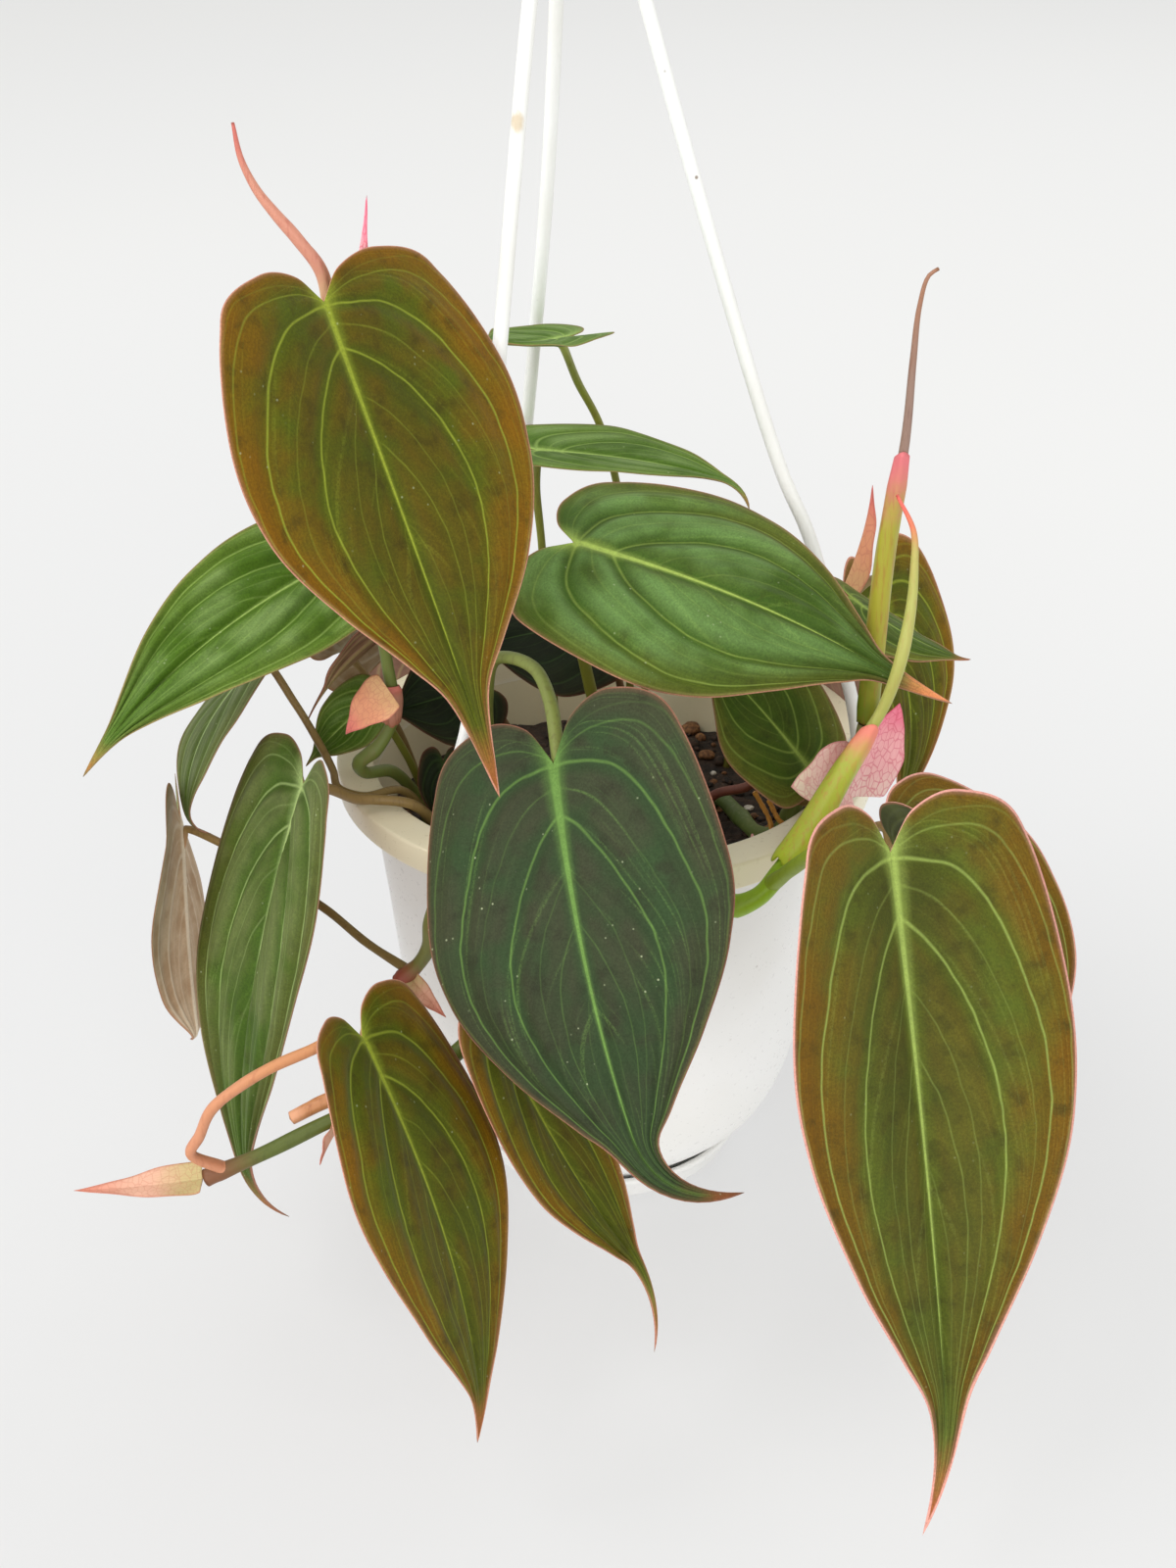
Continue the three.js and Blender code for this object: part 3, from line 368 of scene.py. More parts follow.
def unit(vectors):
    """The same directions with length 1."""
    vectors = np.asarray(vectors, float)
    return vectors / np.maximum(np.linalg.norm(vectors, axis=-1, keepdims=True), 1e-12)


def frames(line, turn):
    """Directions along a line, and out of it at each angle, carried on without twisting."""
    tangents = unit(np.gradient(line, axis=0))
    first = tangents[0]
    axis = np.eye(3)[int(np.argmin(np.abs(first)))]
    normal = unit(np.cross(first, np.cross(first, axis)))
    normals = [normal]
    for a, b in zip(tangents, tangents[1:]):
        normal = normals[-1] - b * np.dot(normals[-1], b)
        normals.append(unit(normal))
    normals = np.array(normals)
    across = np.cross(tangents, normals)
    out = normals[:, None] * np.cos(turn)[:, None] + across[:, None] * np.sin(turn)[:, None]
    return tangents, out


def tube(shape, line, radius, sides=16, kind=0, seam=None):
    """A closed round skin along a line. radius is a number a place, seam a share of it for each side."""
    rows, turn = len(line), circle(sides)
    radius = np.broadcast_to(radius, rows)
    tangents, out = frames(line, turn)
    form = 1 if seam is None else seam(np.linspace(0, 1, rows)[:, None], turn[None, :])
    points = line[:, None] + out * (radius[:, None] * form * np.ones((rows, sides)))[..., None]
    run = run_of(line)
    measures = table((run / run[-1])[:, None], turn[None, :] / (2 * np.pi), run[:, None])
    faces = sheet_faces(rows - 1, sides, closed=True, flip=True)
    points, measures = points.reshape(-1, 3), measures.reshape(-1, 3)
    for end, row in ((0, 0), (1, rows - 1)):
        swell = tangents[row] * radius[row] * (CAP_SWELL if end else -CAP_SWELL)
        centre = len(points)
        points = np.vstack([points, line[row] + swell])
        measures = np.vstack([measures, [float(end), 0, run[row]]])
        ring = [row * sides + j for j in range(sides)]
        for a, b in zip(ring, ring[1:] + ring[:1]):
            faces.append((centre, a, b) if end else (centre, b, a))
    shape.add(points, faces, kind, run=measures)
    return shape


print("spline of 3 points is", round(route([(0, 0, 0), (10, 5, 0), (20, 0, 0)])[1][-1], 2), "mm long")

# %% [markdown]
# ## Moulded plastic
# The pot, its saucer and the hanger are white polypropylene: bright, a little glossy, faintly uneven
# where the mould was, and dusty. A plain white shader would look like paper. Very low relief breaks up
# the gloss, noise moves the white a few steps, and small round specks are dirt that dried on. Cream
# near the pot's rim is a painted reflection of the leaves with painted shade, and the inside wall is
# painted a darker cream, a painted shade.

# %% Plastic finishes
# Heights in mm above which the pot's white turns cream, a painted reflection of the leaves and painted
# shade.
PAINTED_REFLECTION_FROM, PAINTED_REFLECTION_FULL = 113, 119
CHIP_EDGE, CHIP_HEART = 4.2, 2.6
DRIED_DIRT, WORN_PLASTIC = (120, 100, 78), (205, 188, 158)


def plastic(name, white, shade, specks, gloss, chip=None, cream=None):
    """Moulded white. cream is a painted reflection of the leaves and painted shade near the rim, chip the
    place of a worn spot.
    """
    f = Finish(name)
    cloud = f.noise(38, detail=2.0)
    film = f.noise(1.3, detail=2.0)
    colour = f.mix(f.step(cloud, 0.35, 0.7) * 0.6 + film * 0.15, white, shade)
    dots = f.step(f.cells(5.5), 0.11, 0.04) * f.step(f.noise(17), 0.52, 0.6)
    colour = f.mix(dots * specks, colour, DRIED_DIRT)
    # Painted reflection and shade: the white turns cream above these heights.
    if cream:
        colour = f.mix(f.step(f.axis(f.here(), 2), PAINTED_REFLECTION_FROM, PAINTED_REFLECTION_FULL) * 0.8, colour, cream)
    if chip:
        offset = f.node("ShaderNodeVectorMath", {"operation": "DISTANCE"}, {0: f.here(), 1: chip}, "Value")
        worn = f.step(offset + film * 1.5, CHIP_EDGE, CHIP_HEART)
        colour = f.mix(worn * 0.9, colour, WORN_PLASTIC)
    height = cloud * 0.6 + film * 0.25
    return f.surface(Base_Color=colour, Roughness=film * 0.1 + gloss, Normal=f.bump(height, 0.12, 0.25),
                     Specular_IOR_Level=0.45)


# The cream on the pot's rim and the darker cream of its inside wall are painted reflection and painted
# shade.
pot_white = plastic("pot_white", (246, 246, 244), (238, 237, 232), 0.3, 0.24, cream=(246, 234, 194))
pot_inside_painted_shade = plastic("pot_white_inside_painted_shade", (236, 226, 192), (220, 208, 170), 0.3, 0.35)
saucer_white = plastic("saucer_white", (240, 240, 238), (230, 229, 225), 0.35, 0.28)
rod_white = plastic("rod_white", (240, 241, 238), (228, 227, 220), 0.85, 0.26, chip=(-18.6, -23.9, 286))
print("four white plastics, cream above", PAINTED_REFLECTION_FROM, "mm on the pot")

# %% [markdown]
# ## The pot and its saucer
# Both are shapes of revolution, drawn in one wall profile. A modelled box could be bevelled into them,
# but a turned profile keeps the wall's true thickness, the flange with its turned-down lip and the
# small rounding that a mould leaves on every edge.

# %% Turned pieces
AXIS, TURNED_SIDES = 0.01, 160


def rounded(profile, radius, steps=4):
    """Each corner of the profile replaced by a small arc."""
    points = [np.array(p, float) for p in profile]
    out = [points[0]]
    for before, corner, after in zip(points, points[1:], points[2:]):
        back, on = before - corner, after - corner
        cut = min(radius, 0.45 * np.linalg.norm(back), 0.45 * np.linalg.norm(on))
        start, end = corner + unit(back) * cut, corner + unit(on) * cut
        for t in np.linspace(0, 1, steps):
            out.append((1 - t) ** 2 * start + 2 * t * (1 - t) * corner + t * t * end)
    return np.array([*out, points[-1]])


def turned(shape, profile, sides=TURNED_SIDES):
    """A skin turned round the upright axis from (radius, height) pairs."""
    turn = circle(sides)
    radius, height = np.asarray(profile, float).T
    points = table(radius[:, None] * np.cos(turn), radius[:, None] * np.sin(turn), height[:, None])
    shape.add(points.reshape(-1, 3), sheet_faces(len(radius) - 1, sides, closed=True))
    return shape


RIM_RADIUS, RIM_TOP, RIM_DROP, RIM_WEB = 70, 125, 7, 2.6
MOUTH_RADIUS, MOUTH_SLANT, MOUTH_DROP, NECK_RADIUS = 60.4, 0.3, 1.4, 62.3
WALL, LIP, RIM_EDGE, SAUCER_EDGE = 1.6, 1.6, 0.9, 0.7
FOOT_Z, FOOT_RADIUS = 1.9, 20
INSIDE_WALL = WALL * 1.05
BODY = [(30, 1.9), (33.8, 6.6), (36.4, 9.6), (41.5, 14.6), (46.2, 20), (50.6, 29), (54, 42), (56.6, 62),
        (59, 88), (62, 117)]


def wall_curve(offset):
    """The body's smooth side, from the foot up, moved inward by the offset."""
    knots = [(r - offset, 0, max(z, FOOT_Z + offset)) for r, z in BODY]
    return [(x, z) for x, _, z in route(knots, 6)[0]]


web, lip_bottom = RIM_TOP - RIM_WEB, RIM_TOP - RIM_DROP
outside = [(AXIS, FOOT_Z), (FOOT_RADIUS, FOOT_Z), *wall_curve(0), (NECK_RADIUS, web)]
flange = [(RIM_RADIUS - LIP, web), (RIM_RADIUS - LIP, lip_bottom), (RIM_RADIUS, lip_bottom),
          (RIM_RADIUS, RIM_TOP), (MOUTH_RADIUS + MOUTH_SLANT, RIM_TOP),
          (MOUTH_RADIUS, RIM_TOP - MOUTH_DROP)]
inside = [*reversed(wall_curve(INSIDE_WALL)), (AXIS, FOOT_Z + WALL)]
rim = rounded([*outside[-2:], *flange, *inside[:2]], RIM_EDGE)[1:-1]
pot_profile = np.vstack([outside[:-2], rim, inside[2:]])
pot = turned(Shape(), pot_profile)
first_inside = TURNED_SIDES * (len(pot_profile) - len(inside))
pot.kinds[first_inside:] = [1] * (len(pot.kinds) - first_inside)
pot.dress("pot_body", [pot_white, pot_inside_painted_shade], "white_pot_plastic", made="moulded")

SAUCER = [(AXIS, 0), (34, 0), (36.4, 2.4), (38.2, 7.1), (39.2, 8.3), (39, 9.5), (37.3, 9.5), (36.4, 6.1),
          (32, 1.5), (AXIS, 1.5)]
saucer_profile = rounded(SAUCER, SAUCER_EDGE)
turned(Shape(), saucer_profile).dress("saucer", [saucer_white], "white_pot_plastic", made="moulded")
print("pot wall", len(pot_profile), "rings, saucer", len(saucer_profile), "rings")

# %% [markdown]
# ## The hanger
# Three plastic rods click into holes in the flange: a button below, a collar above, and a rod that
# leans inward as it rises. They meet in a ball with a wire-like hook, which the photograph cuts off, so
# it is finished plainly. The rods are tubes on the same routes as the solids.

# %% Rods and hook
ROD_RADIUS, ROD_CIRCLE, ROD_ANGLE, GAP = 1.7, 65.5, -5.7, 0.3
ROD_ROWS, HOOK_ROWS, ROD_SIDES, BUTTON_SIDES, BALL_SIDES, BALL_ROWS = 90, 120, 20, 28, 48, 24
HUB, HUB_RADIUS, HUB_DROP = np.array([-7.0, -2.0, 368.0]), 7, 3
HOOK_RADIUS, HOOK_NECK, HOOK_WIRE = 12, 14, 2.2
BALL = HUB - [0, 0, HUB_DROP]
RODS = {
    "rod_right": (0, [(63.2, -6.5, 140), (61, -6.3, 148), (50.5, -5.6, 184), (43, -5.2, 201),
                      (22, -4, 266)]),
    "rod_back_left": (120, [(-26, 58, 145), (-18.6, 40, 207), (-13, 26.8, 260), (-9.8, 15.4, 305)]),
    "rod_front_left": (240, [(-37, -52.5, 140), (-32.4, -47.5, 155), (-22.9, -30, 240), (-15, -15.6, 309)]),
}
top, low = RIM_TOP, RIM_TOP - RIM_WEB - GAP
COLLAR = [(AXIS, top + GAP), (3, top + GAP), (2.7, top + 1.2), (2.1, top + 3), (1.6, top + 3.4),
          (AXIS, top + 3.4)]
BUTTON = [(AXIS, low - 2.6), (1.7, low - 2.6), (2.5, low), (AXIS, low)]
PIN = [(AXIS, low - 0.5), (ROD_RADIUS, low - 0.5), (ROD_RADIUS, top + 1), (AXIS, top + 1)]


def add_turned(shape, profile, sides, middle):
    """A small turned form round the upright line through its middle, added to a shape of tubes."""
    form = turned(Shape(), profile, sides)
    shape.add(np.array(form.points) + middle, form.faces)


for name, (turn_by, bends) in RODS.items():
    angle = math.radians(ROD_ANGLE + turn_by)
    x, y = ROD_CIRCLE * math.cos(angle), ROD_CIRCLE * math.sin(angle)
    towards_ball = unit(np.array(bends[-1]) - BALL) * (HUB_RADIUS - 0.5) + BALL
    path = [(x, y, RIM_TOP + 2), (x, y, RIM_TOP + 4), *bends, tuple(towards_ball)]
    shape = tube(Shape(), along(path, np.linspace(0, 1, ROD_ROWS)), ROD_RADIUS, ROD_SIDES)
    for profile in (COLLAR, BUTTON, PIN):
        add_turned(shape, rounded(profile, 0.35, 3), BUTTON_SIDES, [x, y, 0])
    shape.dress(name, [rod_white], "white_hanger_plastic", made="moulded")

bow_centre = HUB[2] + HOOK_NECK + HOOK_RADIUS
bow = [tuple(HUB - [0, 0, 2]), tuple(HUB + [0, 0, 7])]
for turn_by in np.arange(-95, 121, 21.5):
    angle = math.radians(turn_by)
    bow.append((HUB[0] + HOOK_RADIUS * math.cos(angle), HUB[1], bow_centre + HOOK_RADIUS * math.sin(angle)))
shares = np.linspace(0, 1, HOOK_ROWS)
wire = HOOK_WIRE * np.interp(shares, [0, 0.9, 0.97, 1], [1, 1, 0.9, 0.6])
hook = tube(Shape(), along(bow, shares), wire, ROD_SIDES)
latitudes = np.radians(np.linspace(-90, 90, BALL_ROWS))
ball_profile = table(np.maximum(HUB_RADIUS * np.cos(latitudes), AXIS), HUB_RADIUS * np.sin(latitudes))
add_turned(hook, ball_profile, BALL_SIDES, BALL)
hook.dress("hanger_hook", [rod_white], "white_hanger_plastic", made="moulded")
print(len(RODS), "rods, hook", round(route(bow)[1][-1]), "mm of wire")

# %% [markdown]
# ## Potting soil
# The pot is filled to two fingers below its rim with dark, chunky soil: peat, bark and a few pale bits.
# A flat disc with a bumpy shader looks like paint from close by. The top is a fine net that noise lifts,
# and loose crumbs of several sizes lie on it, each a small squashed ball with its own lumps.

# %% Soil
SOIL_TOP, SOIL_RADIUS, SOIL_SEED, CRUMBS = 103.0, 58.3, 11, 620
SOIL_RINGS, SOIL_SIDES, SOIL_SINK, SOIL_SKIRT = 64, 160, 0.8, 3
CRUMB_SIZES, CRUMB_KINDS, CRUMB_SHARES = (0.7, 0.9, 1.2, 1.2, 1.7, 2.4), (1, 2, 3), (0.78, 0.17, 0.05)
earth = Finish("potting_soil_dark")
clods = earth.noise(4.5, detail=6.0, rough=0.7)
grit = earth.cells(1.6)
earth_colour = earth.mix(earth.step(clods, 0.3, 0.72), (22, 17, 13), (70, 52, 38))
earth_colour = earth.mix(earth.step(grit, 0.2, 0.05) * earth.step(earth.noise(6), 0.5, 0.62), earth_colour,
                         (128, 96, 62))
soil_dark = earth.surface(Base_Color=earth_colour, Roughness=clods * 0.2 + 0.72,
                          Normal=earth.bump(clods + grit * 0.6, 0.9, 0.9))


def crumb_finish(name, low, high):
    """A dry, lumpy bit in two shades."""
    f = Finish(name)
    mottle = f.noise(1.2, detail=4.0)
    return f.surface(Base_Color=f.mix(f.step(mottle, 0.35, 0.68), low, high),
                     Roughness=mottle * 0.2 + 0.7, Normal=f.bump(mottle, 0.8, 0.4))


crumb_dark = crumb_finish("soil_crumb_dark", (26, 20, 16), (74, 54, 40))
crumb_bark = crumb_finish("soil_crumb_bark", (96, 62, 36), (158, 112, 70))
crumb_pale = crumb_finish("soil_crumb_pale", (168, 158, 140), (222, 216, 204))


def soil_height(x, y):
    """The soil's top at a place: wide swells, small hollows and crumbs, one noise each."""
    rise = noise.noise(Vector((x, y, 3)) * 0.06) * 1.6 + noise.noise(Vector((x, y, 9)) * 0.22) * 0.9
    return SOIL_TOP - SOIL_SINK + rise + noise.noise(Vector((x, y, 0)) * 0.7) * 0.35


soil = Shape()
spots = [(r * math.cos(t), r * math.sin(t)) for r in SOIL_RADIUS * np.linspace(1, 0.004, SOIL_RINGS)
         for t in circle(SOIL_SIDES)]
side = [(r - GAP, z) for r, z in wall_curve(INSIDE_WALL + GAP) if z < SOIL_TOP - SOIL_SKIRT]
turned(soil, [(AXIS, side[0][1] + GAP), *side, (SOIL_RADIUS, SOIL_TOP - WALL)])
top = [(x, y, soil_height(x, y)) for x, y in spots]
soil.add(top, sheet_faces(SOIL_RINGS - 1, SOIL_SIDES, closed=True))

crumb_ball = []
for lat in np.radians(np.linspace(-90, 90, 6)):
    for lon in np.radians(np.arange(0, 360, 45)):
        crumb_ball.append((math.cos(lat) * math.cos(lon), math.cos(lat) * math.sin(lon), math.sin(lat)))
ball_net = sheet_faces(5, 8, closed=True)
dice = random.Random(SOIL_SEED)
for k in range(CRUMBS):
    far = SOIL_RADIUS * math.sqrt(dice.random()) * 0.97
    turn_by = dice.random() * 2 * math.pi
    x, y = far * math.cos(turn_by), far * math.sin(turn_by)
    size = dice.choice(CRUMB_SIZES)
    axes = Vector((dice.uniform(0.7, 1.3), dice.uniform(0.7, 1.3), dice.uniform(0.45, 0.8))) * size
    spin = Matrix.Rotation(dice.random() * 6.28, 3, "Z")
    lift = soil_height(x, y) + axes.z * 0.45
    lumps = []
    for p in crumb_ball:
        q = Vector((p[0] * axes.x, p[1] * axes.y, p[2] * axes.z))
        q *= 1 + 0.25 * noise.noise(q * 1.4 + Vector((k, 0, 0)))
        lumps.append((spin @ q) + Vector((x, y, lift)))
    kind = dice.choices(CRUMB_KINDS, CRUMB_SHARES)[0]
    soil.add([tuple(p) for p in lumps], ball_net, kind)
soil.dress("soil", [soil_dark, crumb_dark, crumb_bark, crumb_pale], "potting_soil")
print("soil:", len(soil.faces), "faces,", CRUMBS, "crumbs")

# %% [markdown]
# ## The leaf blade
# A leaf of this kind is a heart with a drip tip, bent and twisted as it hangs. One could model each by
# hand, but they share one plan: two numbers, u from the junction round to the tip and v across, give a
# place on the flat heart, and the flat heart is then laid along a curved midrib. The same formula made
# the solids, so each fine blade lies on its solid. Lines of constant v already sweep as veins do.

# %% Leaf surface
STATIONS = [0, 0.05, 0.12, 0.22, 0.36, 0.52, 0.68, 0.8, 0.88, 1]
HEART = {"across": [0, 0.17, 0.46, 0.83, 1, 0.9, 0.6, 0.29, 0.115, 0],
         "back": [0, 0.75, 1, 0.62, 0, 0, 0, 0, 0, 0]}
LANCE = {"across": [0, 0.55, 0.8, 0.93, 1, 0.88, 0.62, 0.4, 0.25, 0], "back": [0] * 10}
MARGIN_ALONG = [0, 0, 0, 0.03, 0.25, 0.445, 0.63, 0.775, 0.87, 1]
RIB_ALONG = [0, 0.015, 0.05, 0.13, 0.27, 0.44, 0.61, 0.755, 0.86, 1]
LEAF_DEFAULTS = dict(plan=HEART, width=40, lobe=9, tail=0.16, wide=0.21, roll=0, fold=8, arch=0.1, droop=20,
                     sweep=0, twist=0, curl=0, curl_side=0, left=1, pleat=1.2, wave=0.5, petiole=1.05,
                     fine=False)
SPINE_STEPS = 48
RIB_VALLEY, VEIN_VALLEY, RIPPLES = 0.1, 0.095, 17
# Side veins of each half: where they leave the midrib, the share of the half width that they come to,
# how slowly they get there, how bent they are, and how strong.
VEINS = [(0.0, 1.05, 0.09, 1.0, 0.2), (0.0, 0.98, 0.13, 1.2, 0.5), (0.0, 0.88, 0.24, 1.5, 1.0),
         (0.11, 0.86, 0.25, 1.2, 0.25), (0.19, 0.66, 0.22, 1.15, 0.95), (0.31, 0.55, 0.25, 1.0, 0.28),
         (0.41, 0.46, 0.24, 1.0, 0.4), (0.56, 0.27, 0.2, 1.0, 0.2)]


def smooth(values, u):
    """A smooth curve through values at the stations."""
    at, values = np.array(STATIONS, float), np.asarray(values, float)
    slope = np.empty_like(values)
    slope[1:-1] = (values[2:] - values[:-2]) / (at[2:] - at[:-2])
    slope[0] = (values[1] - values[0]) / (at[1] - at[0])
    slope[-1] = (values[-1] - values[-2]) / (at[-1] - at[-2])
    k = np.clip(np.searchsorted(at, u, side="right") - 1, 0, len(at) - 2)
    h = at[k + 1] - at[k]
    t = (u - at[k]) / h
    return ((1 + 2 * t) * (1 - t) ** 2 * values[k] + t * (1 - t) ** 2 * h * slope[k]
            + t * t * (3 - 2 * t) * values[k + 1] + t * t * (t - 1) * h * slope[k + 1])


def flat_leaf(leaf, length, u, v):
    """Across and along of u, v on the pressed leaf, and its half width there."""
    tail, wide = leaf["tail"], leaf["wide"]
    margin = np.interp(MARGIN_ALONG, [0, 0.25, 0.87, 1], [0, wide, 1 - tail, 1])
    rib = np.interp(RIB_ALONG, [0, 0.27, 0.86, 1], [0, wide + 0.02, 0.99 - tail, 1])
    half = smooth(leaf["plan"]["across"], u) * leaf["width"] / 2 * np.where(v < 0, leaf["left"], 1)
    margin_y = smooth(margin, u) * length - smooth(leaf["plan"]["back"], u) * leaf["lobe"]
    share = np.abs(v)
    return v * half, smooth(rib, u) * length * (1 - share) + margin_y * share, half


def midrib(leaf, length):
    """The bent midrib from the junction: places, and directions along, across and up."""
    s = np.linspace(0, 1, SPINE_STEPS + 1)
    end = np.clip((s - (1 - leaf["tail"] * 1.2)) / (leaf["tail"] * 1.2), 0, 1) ** 1.2
    pitch = np.radians(leaf["droop"]) * s**1.4 + np.radians(leaf["curl"]) * end
    yaw = np.radians(leaf["sweep"]) * s**2 + np.radians(leaf["curl_side"]) * end
    spin = np.radians(leaf["twist"]) * s
    on = table(np.sin(yaw) * np.cos(pitch), np.cos(yaw) * np.cos(pitch), -np.sin(pitch))
    places = np.vstack([np.zeros(3), np.cumsum((on[1:] + on[:-1]) / 2 * length / SPINE_STEPS, 0)])
    level = table(np.cos(yaw), -np.sin(yaw), 0)
    normal = np.cross(level, on)
    cos, sin = np.cos(spin)[:, None], np.sin(spin)[:, None]
    return s * length, places, on, level * cos + normal * sin, normal * cos - level * sin


def vein_places(u):
    """For each side vein, its v at every u, and 0 where it hasn't left the midrib yet."""
    return [(reach * (1 - np.exp(-((np.maximum(u - start, 0) / slow) ** bent))), force * (u >= start))
            for start, reach, slow, bent, force in VEINS]


def leaf_points(leaf, u, v):
    """Places of the blade's middle surface, with the measures that the finishes use."""
    base, tip = np.array(leaf["base"], float), np.array(leaf["tip"], float)
    chord = midrib(leaf, 1)[1][-1]
    length = np.linalg.norm(tip - base) / np.linalg.norm(chord)
    s, places, on, cross, up = midrib(leaf, length)
    x, y, half = flat_leaf(leaf, length, u, v)
    held = np.clip(y, 0, length)
    at = [table(*(np.interp(held, s, field[:, k]) for k in range(3))) for field in (places, cross, up)]
    share = np.abs(v)
    inside = np.clip(np.minimum(u, 1 - u) / 0.25, 0, 1)
    valley = np.exp(-(share / RIB_VALLEY) ** 2)
    for place, force in vein_places(u):
        valley = np.maximum(valley, force * np.exp(-(((share - place) / VEIN_VALLEY) ** 2)))
    fold = np.radians(leaf["fold"])
    height = np.abs(x) * np.sin(fold) - leaf["arch"] * 2 * x * x / leaf["width"]
    height = height + leaf["pleat"] * inside * (1 - valley)
    ripple = np.sin(RIPPLES * u + 2.5 * np.sign(v) + leaf["width"])
    height = height + leaf["wave"] * inside * share**3 * ripple
    points = at[0] + (y - held)[..., None] * on[0] + (x * np.cos(fold))[..., None] * at[1]
    points = points + height[..., None] * at[2]
    # The bent blade is now turned as one, so that its tip comes to its place.
    local_along = unit(chord)
    local_up = unit(np.array([0, 0, 1]) - local_along * local_along[2])
    to_tip = unit(tip - base)
    level = unit(np.array([0, 0, 1]) - to_tip * to_tip[2])
    roll = np.radians(leaf["roll"])
    lifted = level * np.cos(roll) + np.cross(to_tip, level) * np.sin(roll)
    here = np.stack([local_along, local_up, np.cross(local_along, local_up)], 1)
    there = np.stack([to_tip, lifted, np.cross(to_tip, lifted)], 1)
    points = points @ (there @ here.T).T + base
    return points, table(v, u, held / length), table(half, x, length)


plain_leaf = {**LEAF_DEFAULTS, "base": (0, 0, 0), "tip": (0, 90, 0)}
widest = leaf_points(plain_leaf, np.array([0.36]), np.array([1.0]))[0]
print("widest place of a plain leaf:", np.round(widest, 1).tolist())

# %% [markdown]
# ## The skin of a blade
# The surface has no thickness yet. A modifier could thicken it evenly, but a real blade thins out at
# its margin, and its veins stand out below. So both faces are written out: the lower one is pushed
# down by the midrib and by every side vein, and a narrow strip joins them at the margin.

# %% Blade skin
# The net's rows stand closer near the junction, and its columns closer near the midrib.
ROWS_CLOSER, COLUMNS_CLOSER = 1.22, 1.12
BLADE_THICK, MARGIN_THINNER, CROWN = 0.3, 0.28, 0.22
RIB_DEEP, RIB_WIDE, VEIN_DEEP, VEIN_WIDE = 0.9, 1.5, 0.28, 0.7


def skin_normals(points, faces):
    """Directions straight out of a net of quads, at its points."""
    corners = np.array([points[[f[k] for f in faces]] for k in range(4)])
    face_normals = np.cross(corners[2] - corners[0], corners[3] - corners[1])
    normals = np.zeros_like(points)
    for k in range(4):
        np.add.at(normals, [f[k] for f in faces], face_normals)
    return unit(normals)


def grow_blade(shape, leaf, rows, columns, thick=BLADE_THICK, rib=RIB_DEEP, under_kind=1):
    """The blade as a thin closed skin, with its midrib and side veins standing out below."""
    width = 2 * columns + 1
    u = (np.linspace(0, 1, rows + 1) ** ROWS_CLOSER)[:, None] * np.ones(width)
    bend = np.linspace(-1, 1, width)
    v = np.ones(rows + 1)[:, None] * (np.sign(bend) * np.abs(bend) ** COLUMNS_CLOSER)
    points, place, spread = leaf_points(leaf, u.ravel(), v.ravel())
    faces = sheet_faces(rows, 2 * columns)
    normals = skin_normals(points, faces)
    share, across = np.abs(place[:, 0]), np.abs(spread[:, 1])
    body = thick * (0.5 - MARGIN_THINNER * share**6)
    bulge = rib * (1 - 0.8 * place[:, 2]) * np.exp(-((across / (RIB_WIDE - place[:, 2])) ** 2))
    for centre, force in vein_places(place[:, 1]):
        ridge = np.exp(-(((share - centre) * spread[:, 0] / VEIN_WIDE) ** 2))
        bulge = np.maximum(bulge, VEIN_DEEP * rib * force * ridge)
    bulge *= np.clip((1 - share) * spread[:, 0] / 1.5, 0, 1)
    above, below = (body + CROWN * bulge)[:, None], (body + bulge)[:, None]
    skin = np.vstack([points + normals * above, points - normals * below])
    under = len(points)
    lower = [tuple(k + under for k in reversed(face)) for face in faces]
    edge = []
    for i in range(rows):
        a, b = i * width, (i + 1) * width
        edge.append((a, b, b + under, a + under))
        a, b = a + width - 1, b + width - 1
        edge.append((a, a + under, b + under, b))
    # The junction and the tip are one place each, so their quads shrink to triangles and points.
    alias = np.arange(2 * under)
    for row in (0, rows):
        for side in (0, under):
            alias[side + row * width:side + (row + 1) * width] = side + row * width
    keep, packed = np.unique(alias, return_inverse=True)
    first = len(shape.points)
    shape.add(skin[keep], [], place=np.tile(place, (2, 1))[keep], spread=np.tile(spread, (2, 1))[keep])
    for kind, group in ((0, faces), (under_kind, lower), (0, edge)):
        for face in group:
            corners = list(dict.fromkeys(int(packed[k]) + first for k in face))
            if len(corners) > 2:
                shape.faces.append(tuple(corners))
                shape.kinds.append(kind)
    return normals.reshape(rows + 1, width, 3)[:, columns], points.reshape(rows + 1, width, 3)[:, columns]


print("a blade is", BLADE_THICK, "mm thick, and", RIB_DEEP, "mm more at its midrib")

# %% [markdown]
# ## Velvet finishes
# The upper face is a dark, velvety green that turns bronze towards the margin, with yellow-green veins,
# a thin pink rim and a brown drip tip. A photo texture isn't used: every mark comes from the measures
# that the blade carries. The veins are distances to the same curves that shaped the pleats, the rim is
# a distance from the margin in millimetres, and noise gives the mottling and the fine nap. Painted shade
# darkens the fold beside the midrib, and on some leaves painted highlight bands lie along the crests. A
# sheen on the shader lightens the face where the eye grazes it, as short hairs do.

# %% Leaf finishes
ACROSS_FINE, ALONG_FINE = 13, 2.5


